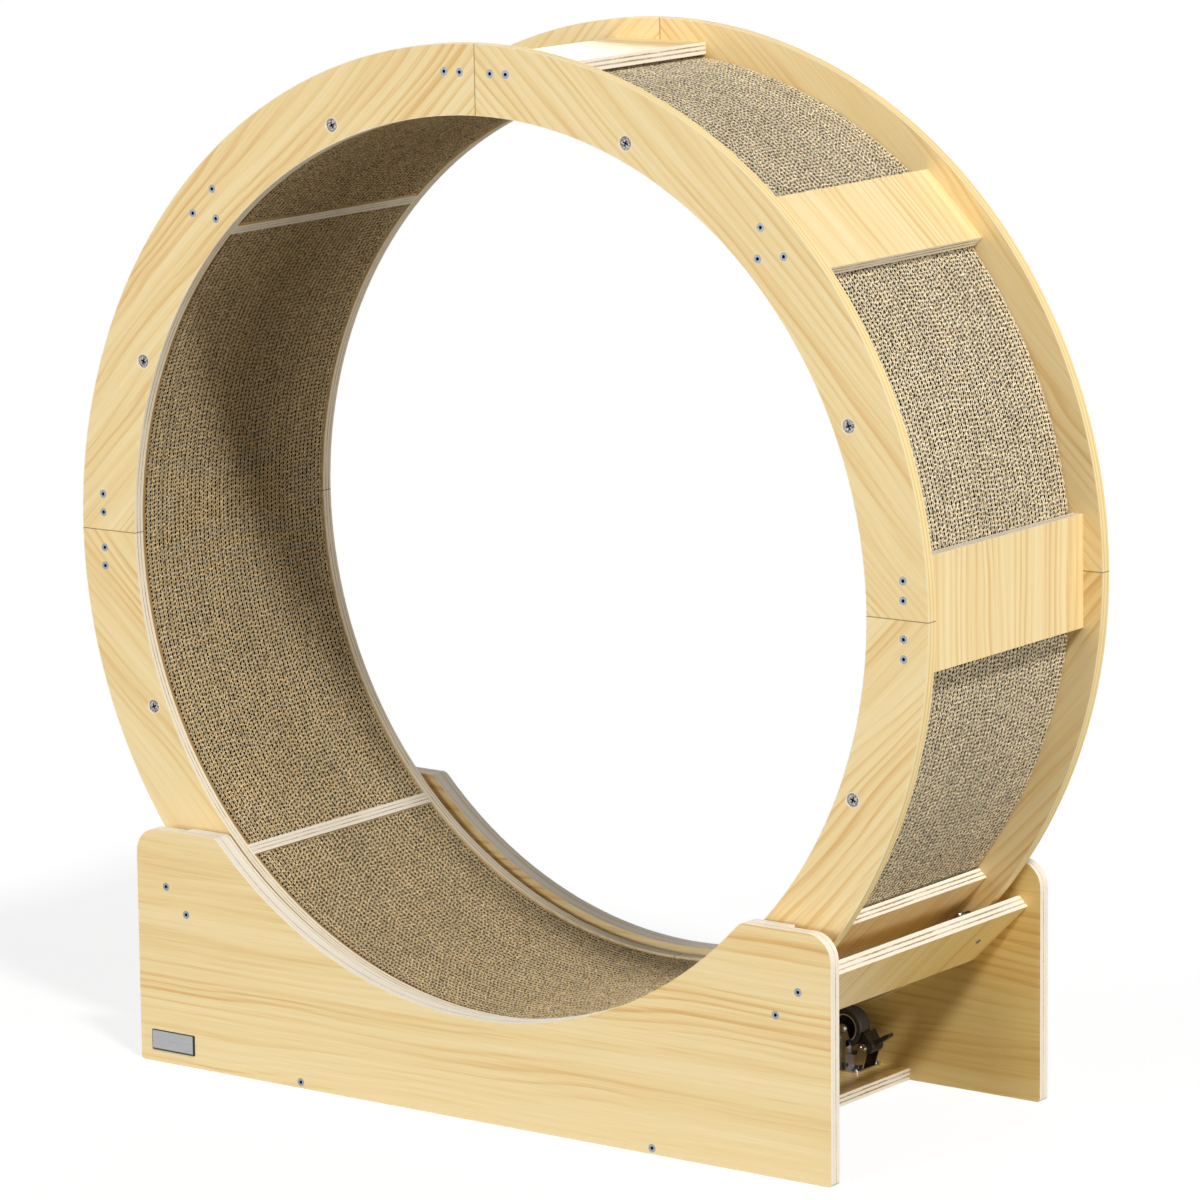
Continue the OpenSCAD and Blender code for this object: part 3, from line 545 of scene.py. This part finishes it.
def moulded_plastic(name, skin, rough):
    """Injection-moulded plastic, black: a fine spark-eroded texture softens its shine."""
    m, shader = new_material(name)
    spot = add(m, "TexCoord").outputs["Object"]
    grain = add(m, "TexNoise", {"Vector": spot, "Scale": 1800.0})
    shade = mottled(m, skin, grain, 0.85, 1.15)
    bump = add(m, "Bump", {"Strength": 0.35, "Distance": 0.0001, "Height": grain})
    feed(m, shader, {"Base Color": shade, "Roughness": rough, "IOR": 1.5, "Normal": bump})
    return m, shader, shade


# Cardboard


def flute_mouths(rng, line_y, step, span, facing_in, looks):
    """Every open flute's four corners and its pit: places along and across the panel, and depths.

    Each layer has its own phase; its mouths stand on the lower and the upper liner in turn.
    """
    rows, mouths = line_y.shape[0] - 1, line_y.shape[1] - 1
    wide = (np.arange(rows) % 2 == 0)[:, None]
    phase = rng.uniform(-0.30, 0.30, (rows, 1)) * step
    flip = rng.integers(0, 2, (rows, 1))
    index = np.arange(mouths)[None, :]
    stands_low = (index + flip) % 2 == 0
    centre = (index + 0.5) * step + phase + rng.normal(0, 0.05, (rows, mouths)) * step
    low, high = line_y[:-1, :-1] + looks.liner, line_y[1:, :-1] - looks.liner
    room = high - low
    wide_base, narrow_base = rng.uniform(0.38, 0.48, centre.shape), rng.uniform(0.22, 0.38, centre.shape)
    base_half = step * np.where(wide, wide_base, narrow_base)
    tip_half = base_half * rng.uniform(0.4, 0.8, centre.shape)
    inset = room * rng.uniform(0.01, 0.12, centre.shape)
    wide_tall, narrow_tall = rng.uniform(0.80, 0.96, centre.shape), rng.uniform(0.55, 0.85, centre.shape)
    tall = room * np.where(wide, wide_tall, narrow_tall)
    base_y = np.where(stands_low, low + inset, high - inset)
    tip_y = np.where(stands_low, low + tall, high - tall)
    # The fluted paper slants one way, as a dull saw drags it: towards higher angles on the outer side
    lean = rng.normal(-0.24 if facing_in else 0.24, 0.06, centre.shape) * step
    edge_s = 0.06 * step
    low_half, high_half = np.where(stands_low, base_half, tip_half), np.where(stands_low, tip_half, base_half)
    low_y, high_y = np.minimum(base_y, tip_y), np.maximum(base_y, tip_y)
    corners_s = np.stack([
        centre - low_half, centre + low_half, centre + lean + high_half, centre + lean - high_half
    ], -1)
    corners_s = np.clip(corners_s, edge_s, span - edge_s)
    corners_s[:, 0] += np.array([0, 1, 1, 0]) * edge_s
    corners_s[:, -1] -= np.array([1, 0, 0, 1]) * edge_s
    corners_y = np.stack([low_y, low_y, high_y, high_y], -1)
    corners_d = rng.uniform(0.0, 1.6, corners_s.shape) * looks.rough
    pit_d = looks.depth * rng.uniform(0.75, 1.0, centre.shape)
    return (corners_s, corners_y, corners_d), (corners_s.mean(-1), corners_y.mean(-1), pit_d)


def flute_faces(line_id, corner_id, pit_id, ring):
    """Triangles of the cut kraft paper, the flutes' walls and the flat sides, each as a list of arrays."""
    low_left, low_right, high_right, high_left = (corner_id[..., i] for i in range(4))
    under, over = line_id[:-1], line_id[1:]
    kraft, flutes, flat = [], [], []

    def face(store, a, b, c):
        store.append(np.stack([a, b, c], -1).reshape(-1, 3))

    # Liner below and above each mouth
    face(kraft, under[:, :-1], under[:, 1:], low_left)
    face(kraft, low_left, under[:, 1:], low_right)
    face(kraft, over[:, 1:], over[:, :-1], high_right)
    face(kraft, high_right, over[:, :-1], high_left)
    face(kraft, under[:, 1:-1], low_left[:, 1:], low_right[:, :-1])
    face(kraft, over[:, 1:-1], high_right[:, :-1], high_left[:, 1:])
    # The cut fluted paper between two mouths, and the ends of each layer
    face(kraft, low_right[:, :-1], low_left[:, 1:], high_left[:, 1:])
    face(kraft, low_right[:, :-1], high_left[:, 1:], high_right[:, :-1])
    face(kraft, under[:, 0], low_left[:, 0], high_left[:, 0])
    face(kraft, under[:, 0], high_left[:, 0], over[:, 0])
    face(kraft, under[:, -1], over[:, -1], high_right[:, -1])
    face(kraft, under[:, -1], high_right[:, -1], low_right[:, -1])
    # Four walls of each open flute
    for i in range(4):
        face(flutes, corner_id[..., i], corner_id[..., (i + 1) % 4], pit_id)
    # Step, uncut strip and side beside each rim, then the back and the ends
    bands = [line_id[0], *ring[0], *ring[1][::-1], line_id[-1]]
    for one, other in zip(bands, bands[1:]):
        face(flat, one[1:], one[:-1], other[:-1])
        face(flat, one[1:], other[:-1], other[1:])
    for col, turn in ((0, 1), (-1, -1)):
        foot = ring[1, 2, col]
        around = np.concatenate([ring[0, ::-1, col], line_id[:, col], ring[1, :2, col]])[::turn]
        face(flat, around[:-1], around[1:], np.full(len(around) - 1, foot))
    return kraft, flutes, flat


def fluted_panel(name, deg, reach_deg, surface, back, half_width, strip, facing_in, seed, looks):
    """One side of a tread panel: double-wall sheets on edge, each a layer of wide and one of narrow flutes.

    Every open flute is a four-cornered mouth that tapers to a point deep inside. A strip beside each rim, as
    wide as strip says for the front and the rear, is uncut kraft paper, and the sides and back are flat.
    s runs along the panel, y across it, and d is the depth under the surface.
    """
    rng = np.random.default_rng(seed)
    span = 2 * math.radians(reach_deg) * surface
    rows = 2 * looks.sheets
    mouths = int(round(span / (looks.flute / 2)))
    cut_low, cut_high = strip[0] - half_width, half_width - strip[1]
    step, sheet = span / mouths, (cut_high - cut_low) / looks.sheets
    # Boundary lines between the layers: one point per half flute
    bounds = (np.arange(looks.sheets + 1)[:, None] + np.array([0.0, looks.wide_share])).ravel()[: rows + 1]
    bounds = bounds * sheet + cut_low
    line_s = np.tile(np.arange(mouths + 1) * step, (rows + 1, 1))
    line_y = np.repeat(bounds[:, None], mouths + 1, 1)
    line_d = rng.uniform(-0.4, 1.0, line_s.shape) * looks.rough
    line_d[[0, -1]] = 0
    line_d[:, [0, -1]] = 0
    corners, pits = flute_mouths(rng, line_y, step, span, facing_in, looks)
    # Three rings on each side: foot of the step, outer edge of the uncut strip, back edge
    ring_y = np.array([[cut_low, -half_width, -half_width], [cut_high, half_width, half_width]])
    ring_d = np.tile([looks.ledge, looks.ledge, abs(back - surface)], (2, 1))
    full = np.ones(mouths + 1)
    rings = (np.tile(line_s[0], 6), np.outer(ring_y, full), np.outer(ring_d, full))
    lines = (line_s, line_y, line_d)
    s, y, d = (np.concatenate([part.ravel() for part in parts]) for parts in zip(lines, corners, pits, rings))
    n_line, n_mouth = line_s.size, rows * mouths
    line_id = np.arange(n_line).reshape(line_s.shape)
    corner_id = n_line + np.arange(4 * n_mouth).reshape(rows, mouths, 4)
    pit_id = n_line + 4 * n_mouth + np.arange(n_mouth).reshape(rows, mouths)
    ring = n_line + 5 * n_mouth + np.arange(6 * (mouths + 1)).reshape(2, 3, mouths + 1)
    stores = flute_faces(line_id, corner_id, pit_id, ring)
    tris = np.concatenate([tri for store in stores for tri in store])
    slots = np.repeat([0, 1, 2], [sum(len(tri) for tri in store) for store in stores])
    if not facing_in:
        tris = tris[:, ::-1]
    angle = math.radians(deg - reach_deg) + s / surface
    r = surface + d if facing_in else surface - d
    co = np.stack([r * np.cos(angle), y, r * np.sin(angle)], -1) + np.array(AXLE)
    uv = np.stack([0.01 + 0.98 * s / span, 0.03 + 0.94 * (y + half_width) / (2 * half_width)], -1)
    uv[ring[0, 2], 1] = 0.002
    uv[ring[1, 2], 1] = 0.998
    return mesh_piece(name, co, tris, slots, uv)


def mesh_piece(name, co, tris, slots, uv):
    """A mesh object from arrays of points, triangles, material slots and places in the bake map."""
    mesh = bpy.data.meshes.new(name)
    mesh.vertices.add(len(co))
    mesh.vertices.foreach_set("co", co.astype(np.float32).ravel())
    mesh.loops.add(3 * len(tris))
    mesh.loops.foreach_set("vertex_index", tris.astype(np.int32).ravel())
    mesh.polygons.add(len(tris))
    mesh.polygons.foreach_set("loop_start", np.arange(0, 3 * len(tris), 3, dtype=np.int32))
    mesh.polygons.foreach_set("material_index", slots.astype(np.int32))
    mesh.polygons.foreach_set("use_smooth", np.zeros(len(tris), bool))
    layer = mesh.uv_layers.new(name="OFBake")
    layer.uv.foreach_set("vector", uv[tris].astype(np.float32).ravel())
    mesh.update(calc_edges=True)
    if mesh.validate():
        raise RuntimeError(f"{name} has faces that Blender had to mend")
    piece = bpy.data.objects.new(name, mesh)
    bpy.context.scene.collection.objects.link(piece)
    return piece

def cut_kraft(name, skin, half_width, looks):
    """Corrugated kraft board, sawn across: dull beige paper, each sheet a little lighter or darker, fuzzy."""
    m, shader = new_material(name)
    spot = add(m, "TexCoord").outputs["Object"]
    across = add(m, "SeparateXYZ", (spot,)).outputs[1]
    across = add(m, "Math", (across, half_width), operation="ADD")
    count = add(m, "Math", (across, 2 * half_width / looks.sheets), operation="DIVIDE")
    count = add(m, "Math", (count,), operation="FLOOR")
    sheet = add(m, "TexWhiteNoise", {"W": count}, noise_dimensions="1D")
    sheet = add(m, "MapRange", (sheet, 0.0, 1.0, 0.92, 1.06))
    fuzz = add(m, "TexNoise", {"Vector": spot, "Scale": 520.0, "Detail": 2.0, "Roughness": 0.7})
    fuzzy = add(m, "MapRange", (fuzz, 0.34, 0.66, 0.42, 1.46))
    stain = add(m, "TexNoise", {"Vector": spot, "Scale": 14.0, "Detail": 3.0})
    stain = add(m, "MapRange", (stain, 0.3, 0.7, 0.93, 1.06))
    tone = add(m, "Math", (sheet, fuzzy), operation="MULTIPLY")
    tone = add(m, "Math", (tone, stain), operation="MULTIPLY")
    feed(m, shader, {
        "Base Color": add(m, "VectorMath", {0: skin[:3], "Scale": tone}, operation="SCALE"),
        "Roughness": 0.9, "IOR": 1.45, "Specular IOR Level": 0.15,
        "Normal": add(m, "Bump", {"Strength": 0.5, "Distance": 0.0002, "Height": fuzz}),
    })
    return m


def flute_inside(looks):
    """The inside of the flutes, in painted shade: darkened kraft paper that turns near-black with depth, as a
    deep narrow tube does.
    """
    m, shader = new_material("kraft_board_flute_painted_shade")
    out = off_axle(m, AXLE)
    from_running = add(m, "Math", (out, RUNNING_RADIUS), operation="SUBTRACT")
    from_outer = add(m, "Math", (OUTER_RADIUS, out), operation="SUBTRACT")
    depth = add(m, "Math", (from_running, from_outer), operation="MINIMUM")
    shadow = add(m, "MapRange", (depth, 0.0002, 0.0007, 0.0, 1.0))
    # Paper at a flute's mouth is darkened to about half as painted shade
    paper = [c * 0.55 for c in looks.edge[:3]] + [1.0]
    shade = add(m, "Mix", {0: shadow, 6: paper, 7: looks.inside}, data_type="RGBA")
    feed(m, shader, {"Base Color": shade, "Roughness": 0.95, "IOR": 1.45, "Specular IOR Level": 0.05})
    return m


def flat_kraft(looks):
    """Uncut kraft liner on the stack's sides and back: smooth brown paper with faint fibres."""
    m, shader = new_material("flat_kraft_liner")
    spot = add(m, "TexCoord").outputs["Object"]
    spot = add(m, "VectorMath", (spot, (300.0, 300.0, 90.0)), operation="MULTIPLY")
    fibres = add(m, "TexNoise", {"Vector": spot, "Scale": 1.0, "Detail": 3.0, "Roughness": 0.6})
    shade = mottled(m, looks.flat, fibres, 0.88, 1.08)
    feed(m, shader, {"Base Color": shade, "Roughness": 0.8, "IOR": 1.45})
    return m


# Operators, one for each group of like pieces


class CAT_WHEEL_OT_stage(bpy.types.Operator):
    """Adds the pale floor, the studio light and the camera"""

    bl_idname = "cat_wheel.stage"
    bl_label = "Stage"

    def execute(self, context):
        looks = context.scene.cat_wheel_studio
        self.floor(looks)
        self.world(context, looks)
        self.lamp("key_lamp", looks.key_from, looks.key_soft, looks.key_level)
        self.lamp("front_lamp", looks.front_from, looks.front_soft, looks.front_level)
        self.lamp("side_lamp", looks.side_from, looks.side_soft, looks.side_level)
        self.lamp("back_lamp", looks.back_from, looks.back_soft, looks.back_level)
        self.camera(context, looks)
        context.scene.view_settings.view_transform = "Standard"
        return {"FINISHED"}

    def seen(self, owner):
        """1 for what the camera, a mirror or glass looks at, 0 for light thrown back on the object."""
        rays = add(owner, "LightPath").outputs
        every = add(owner, "Math", (rays["Is Camera Ray"], rays["Is Glossy Ray"]), operation="ADD")
        every = add(owner, "Math", (every, rays["Is Transmission Ray"]), operation="ADD")
        return add(owner, "Math", (every, 1.0), operation="MINIMUM")

    def floor(self, looks):
        half = 40.0
        corners = [(-half, -half, 0), (half, -half, 0), (half, half, 0), (-half, half, 0)]
        mesh = bpy.data.meshes.new("floor")
        mesh.from_pydata(corners, [], [(0, 1, 2, 3)])
        floor = bpy.data.objects.new("floor", mesh)
        bpy.context.scene.collection.objects.link(floor)
        # Seamless white floor: a part of its white glows, the rest shows the object's shadow
        m, shader = new_material("painted_studio_floor")
        seen = self.seen(m)
        shown = [c * (1 - looks.glow) / looks.floor_light for c in looks.floor[:3]] + [1.0]
        feed(m, shader, {
            "Base Color": add(m, "Mix", {0: seen, 6: looks.bounce, 7: shown}, data_type="RGBA"),
            "Roughness": 0.9, "Specular IOR Level": 0.0, "Emission Color": looks.floor,
            "Emission Strength": add(m, "Math", (seen, looks.glow), operation="MULTIPLY"),
        })
        mesh.materials.append(m)

    def world(self, context, looks):
        world = context.scene.world or bpy.data.worlds.new("studio")
        context.scene.world = world
        world.use_nodes = True
        world.node_tree.nodes.clear()
        strength = add(world, "MapRange", (self.seen(world), 0.0, 1.0, looks.ambient, 1.0))
        sky = add(world, "Background", {"Color": (1, 1, 1, 1), "Strength": strength})
        add(world, "OutputWorld", {"Surface": sky})

    def lamp(self, name, place, angle, light):
        data = bpy.data.lights.new(name, "SUN")
        data.angle, data.energy = angle, math.pi * light
        lamp = bpy.data.objects.new(name, data)
        bpy.context.scene.collection.objects.link(lamp)
        lamp.location = AXLE + 4 * Vector(place)
        lamp.rotation_euler = Vector(place).to_track_quat("Z", "Y").to_euler()

    def camera(self, context, looks):
        yaw, pitch, roll = CAMERA_YAW, CAMERA_PITCH, CAMERA_ROLL
        back = Vector((math.sin(yaw) * math.cos(pitch), -math.cos(yaw) * math.cos(pitch), math.sin(pitch)))
        right = Vector((math.cos(yaw), math.sin(yaw), 0))
        up = back.cross(right)
        turned_right = math.cos(roll) * right + math.sin(roll) * up
        turned_up = -math.sin(roll) * right + math.cos(roll) * up
        data = bpy.data.cameras.new("photo_camera")
        data.sensor_width, data.lens = 36.0, looks.lens
        data.shift_x, data.shift_y = CAMERA_SHIFT
        camera = bpy.data.objects.new("photo_camera", data)
        bpy.context.scene.collection.objects.link(camera)
        turned = Matrix((turned_right, turned_up, back)).transposed().to_4x4()
        camera.matrix_world = Matrix.Translation(looks.camera_place) @ turned
        context.scene.camera = camera


class CAT_WHEEL_OT_rims(bpy.types.Operator):
    """Finishes the eight quarter arcs of the two rims"""

    bl_idname = "cat_wheel.rims"
    bl_label = "Rims"

    def execute(self, context):
        for q, quarter in enumerate(QUARTERS):
            middle = 90 * q + 45 + SEAM_DEG
            for end, sign in ENDS:
                node = f"{end}_rim_{quarter}"
                face, thick = outer_face(node, sign)
                veneer(
                    node, AXLE + Vector((0, face, 0)), tangent(middle), radial(middle), Vector((0, -sign, 0)),
                    thick, SEEDS["rim"] + 2 * q + (sign > 0), RIM_PLIES, RIM_RADII,
                )
        return {"FINISHED"}


class CAT_WHEEL_OT_cross_boards(bpy.types.Operator):
    """Finishes the eight boards that join the rims outside the tread"""

    bl_idname = "cat_wheel.cross_boards"
    bl_label = "Cross boards"

    def execute(self, context):
        for place, name in enumerate(PLACES):
            deg = 45 * place + SEAM_DEG
            face = AXLE + radial(deg) * CROSS_BOARD_FACE
            veneer(
                f"cross_board_{name}", face, tangent(deg), ALONG_Y, -radial(deg), BOARD_THICK,
                SEEDS["cross_board"] + place, BOARD_PLIES,
            )
        return {"FINISHED"}


class CAT_WHEEL_OT_dividers(bpy.types.Operator):
    """Finishes the four boards between the tread panels"""

    bl_idname = "cat_wheel.dividers"
    bl_label = "Dividers"

    def execute(self, context):
        for q, quarter in enumerate(QUARTERS):
            deg = 90 * q + 45 + SEAM_DEG
            face = AXLE - tangent(deg) * (BOARD_THICK / 2 / MM)
            veneer(
                f"divider_{quarter}", face, ALONG_Y, radial(deg), tangent(deg), BOARD_THICK,
                SEEDS["divider"] + q,
            )
        return {"FINISHED"}


class CAT_WHEEL_OT_treads(bpy.types.Operator):
    """Builds the fluted cardboard panels that line the wheel"""

    bl_idname = "cat_wheel.treads"
    bl_label = "Treads"

    def execute(self, context):
        looks = context.scene.cat_wheel_cardboard
        half_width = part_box("tread_right")[1].y
        cut = half_width - CUT_MARGIN
        flutes, flat = flute_inside(looks), flat_kraft(looks)
        # The running side's darker kraft is painted shade of the wheel's inside
        running_kraft = cut_kraft("sawn_kraft_running_side", looks.wear_and_painted_light, cut, looks)
        outer_kraft = cut_kraft("sawn_kraft_outer_side", looks.edge, cut, looks)
        sides = (
            ("running", RUNNING_RADIUS, RUNNING_BACK, RUNNING_STRIP, True, running_kraft),
            ("outer", OUTER_RADIUS, OUTER_BACK, OUTER_STRIP, False, outer_kraft),
        )
        for q, place in enumerate(("right", "top", "left", "bottom")):
            for side, surface, back, strip, facing_in, paper in sides:
                reach = 45 - math.degrees(math.asin(HALF_GAP / surface))
                piece = fluted_panel(
                    f"tread_{side}_side_{place}", 90 * q + SEAM_DEG, reach, surface, back, half_width, strip,
                    facing_in, SEEDS["tread"] + 2 * q + facing_in, looks,
                )
                for material in (paper, flutes, flat):
                    piece.data.materials.append(material)
                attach(piece, "wheel")
                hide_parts(f"tread_{place}")
        return {"FINISHED"}


class CAT_WHEEL_OT_base_boards(bpy.types.Operator):
    """Finishes the two panels, the slanted boards and the floor board of the base"""

    bl_idname = "cat_wheel.base_boards"
    bl_label = "Base boards"

    def execute(self, context):
        for end, sign in ENDS:
            # Faces inside the base get the deeper yellow tint, which is painted shade
            for node, group, plies, face_tints in (
                (f"base_{end}_panel", "panel", PANEL_PLIES, (PLAIN, SHADE_TINT)),
                (f"panel_liner_{end}", "liner", LINER_PLIES, None),
            ):
                face, thick = outer_face(node, sign)
                veneer(
                    node, Vector((0, face, 0)), ALONG_X, ALONG_Z, Vector((0, -sign, 0)), thick,
                    SEEDS[group] + (sign > 0), plies, face_tints=face_tints,
                )
        for side, sign in (("right", 1), ("left", -1)):
            out, up = Vector((sign, 0, -1)).normalized(), Vector((sign, 0, 1)).normalized()
            veneer(
                f"slanted_board_{side}", AXLE + out * SLANTED_BOARD_FACE, up, ALONG_Y, -out, SLANTED_THICK,
                SEEDS["slanted"] + (sign > 0), BOARD_PLIES, face_tints=(SHADE_TINT, SHADE_TINT),
            )
        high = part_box("floor_board")[1]
        veneer(
            "floor_board", Vector((0, 0, high.z)), ALONG_X, ALONG_Y, -ALONG_Z, high.z * MM, SEEDS["floor"],
            BOARD_PLIES, gloss=0.22, face_tints=(SHADE_TINT, SHADE_TINT),
        )
        return {"FINISHED"}


class CAT_WHEEL_OT_fasteners(bpy.types.Operator):
    """Finishes the wood screws, the tie bolts and their nuts"""

    bl_idname = "cat_wheel.fasteners"
    bl_label = "Fasteners"

    def execute(self, context):
        looks = context.scene.cat_wheel_metals
        rim_face, base_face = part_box("rear_rim_top_right")[1].y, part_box("base_rear_panel")[1].y
        for node, face in (("wheel_screws", rim_face), ("base_screws", base_face)):
            # Screw sockets are painted dark as shade
            hole = below_face(face, SOCKET_DEPTH)
            finish(node, plated_metal(f"zinc_plated_steel_{node}", looks.zinc, 0.3, hole))
        for node, head in (("tie_bolts", -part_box("tie_bolts")[0].y), ("tie_nuts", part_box("tie_nuts")[1].y)):
            finish(node, plated_metal(f"nickel_plated_steel_{node}", looks.nickel, 0.2, dished(head)))
        for node in ("guide_screws", "guide_spacers", "bracket_screws"):
            finish(node, plated_metal(f"zinc_plated_steel_{node}", looks.zinc, 0.22))
        return {"FINISHED"}


class CAT_WHEEL_OT_name_plate(bpy.types.Operator):
    """Finishes the bare metal plate on the front panel"""

    bl_idname = "cat_wheel.name_plate"
    bl_label = "Name plate"

    def execute(self, context):
        looks = context.scene.cat_wheel_metals
        low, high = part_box("name_plate")
        # Brushed aluminium, clear-coated: fine lines along the plate, a dark border round the raised field,
        # widened at right and bottom as painted shade
        m, shader = new_material("brushed_aluminium_plate")
        spot = add(m, "TexCoord").outputs["Object"]
        brushed = add(m, "VectorMath", (spot, (60.0, 60.0, 5000.0)), operation="MULTIPLY")
        lines = add(m, "TexNoise", {"Vector": brushed, "Scale": 1.0, "Detail": 3.0})
        shade = mottled(m, looks.plate, lines, 0.85, 1.0)
        x, _, z = add(m, "SeparateXYZ", (spot,)).outputs
        # Border widths: right and bottom wide, where the border paints shade, left and top narrow
        right = add(m, "MapRange", (x, high.x - 0.0027, high.x - 0.0021, 0.0, 1.0))
        left = add(m, "MapRange", (x, low.x + 0.0009, low.x + 0.0013, 1.0, 0.0))
        top = add(m, "MapRange", (z, high.z - 0.0013, high.z - 0.0009, 0.0, 1.0))
        bottom = add(m, "MapRange", (z, low.z + 0.0018, low.z + 0.0024, 1.0, 0.0))
        sides = add(m, "Math", (right, left), operation="MAXIMUM")
        ends = add(m, "Math", (top, bottom), operation="MAXIMUM")
        border = add(m, "Math", (sides, ends), operation="MAXIMUM")
        feed(m, shader, {
            "Base Color": add(m, "Mix", {0: border, 6: shade, 7: looks.plate_border_and_shade}, data_type="RGBA"),
            "Metallic": 1.0, "Roughness": add(m, "MapRange", (lines, 0.3, 0.7, 0.25, 0.42)),
        })
        finish("name_plate", m)
        return {"FINISHED"}


class CAT_WHEEL_OT_casters(bpy.types.Operator):
    """Finishes the casters: tyres, hubs, brackets, brake pedals and their pins"""

    bl_idname = "cat_wheel.casters"
    bl_label = "Casters"

    def execute(self, context):
        blacks, metals = context.scene.cat_wheel_blacks, context.scene.cat_wheel_metals
        rubber = self.rubber(blacks)
        pedal = moulded_plastic("moulded_nylon_pedal", blacks.pedal, 0.32)[0]
        chrome = plated_metal("chromed_steel_bracket", metals.chrome, 0.10)
        bright = plated_metal("chromed_steel_pins", metals.nickel, 0.14)
        for corner in CORNERS:
            finish(f"tyre_{corner}", rubber)
            finish(f"pedal_{corner}", pedal)
            finish(f"bracket_{corner}", chrome)
            finish(f"hub_{corner}", self.hub(corner, blacks))
        finish("caster_axles", bright)
        finish("pedal_pins", bright)
        return {"FINISHED"}

    def rubber(self, looks):
        """Moulded rubber, dusty from use: a dull dark grey with paler scuffs."""
        m, shader = new_material("moulded_rubber_tyre")
        spot = add(m, "TexCoord").outputs["Object"]
        dust = add(m, "TexNoise", {"Vector": spot, "Scale": 260.0, "Detail": 4.0, "Roughness": 0.65})
        feed(m, shader, {
            "Base Color": mottled(m, looks.tyre, dust, 0.8, 1.35, top=0.75),
            "IOR": 1.52, "Roughness": add(m, "MapRange", (dust, 0.3, 0.7, 0.5, 0.68)),
            "Normal": add(m, "Bump", {"Strength": 0.3, "Distance": 0.0002, "Height": dust}),
        })
        return m

    def hub(self, corner, looks):
        """The moulded hub, black, with a paler ring where it carries the tyre."""
        m, shader, shade = moulded_plastic(f"moulded_nylon_hub_{corner}", looks.hub, 0.34)
        low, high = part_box(f"hub_{corner}")
        ring = add(m, "MapRange", (off_axle(m, (low + high) / 2), *HUB_RING, 0.0, 1.0))
        skin = add(m, "Mix", {0: ring, 6: shade, 7: looks.hub_ring}, data_type="RGBA")
        feed(m, shader, {"Base Color": skin})
        return m


class CAT_WHEEL_OT_guide_rollers(bpy.types.Operator):
    """Finishes the small rollers on the slanted boards"""

    bl_idname = "cat_wheel.guide_rollers"
    bl_label = "Guide rollers"

    def execute(self, context):
        acetal = moulded_plastic("turned_acetal_roller", context.scene.cat_wheel_blacks.hub, 0.4)[0]
        for corner in CORNERS:
            finish(f"roller_{corner}", acetal)
        return {"FINISHED"}


class CAT_WHEEL_PT_panel(bpy.types.Panel):
    """The wheel's steps, in the order in which they are run"""

    bl_idname = "CAT_WHEEL_PT_panel"
    bl_label = "Cat wheel"
    bl_space_type = "VIEW_3D"
    bl_region_type = "UI"
    bl_category = "Cat wheel"

    def draw(self, context):
        for step in STEPS:
            self.layout.operator(step.bl_idname)


GROUPS = (VeneerPrint, Cardboard, Metals, Blacks, Studio)
STEPS = (
    CAT_WHEEL_OT_stage, CAT_WHEEL_OT_rims, CAT_WHEEL_OT_cross_boards, CAT_WHEEL_OT_dividers,
    CAT_WHEEL_OT_treads, CAT_WHEEL_OT_base_boards, CAT_WHEEL_OT_fasteners, CAT_WHEEL_OT_name_plate,
    CAT_WHEEL_OT_casters, CAT_WHEEL_OT_guide_rollers,
)


def register():
    for cls in GROUPS + STEPS + (CAT_WHEEL_PT_panel,):
        bpy.utils.register_class(cls)
    bpy.types.Scene.cat_wheel_veneer = PointerProperty(type=VeneerPrint)
    bpy.types.Scene.cat_wheel_cardboard = PointerProperty(type=Cardboard)
    bpy.types.Scene.cat_wheel_metals = PointerProperty(type=Metals)
    bpy.types.Scene.cat_wheel_blacks = PointerProperty(type=Blacks)
    bpy.types.Scene.cat_wheel_studio = PointerProperty(type=Studio)


def unregister():
    for name in ("veneer", "cardboard", "metals", "blacks", "studio"):
        delattr(bpy.types.Scene, f"cat_wheel_{name}")
    for cls in reversed(GROUPS + STEPS + (CAT_WHEEL_PT_panel,)):
        bpy.utils.unregister_class(cls)


def main():
    register()
    for step in STEPS:
        name = step.bl_idname.split(".")[1]
        if getattr(bpy.ops.cat_wheel, name)() != {"FINISHED"}:
            raise RuntimeError(f"{step.bl_label} did not finish")


if __name__ == "__main__":
    main()
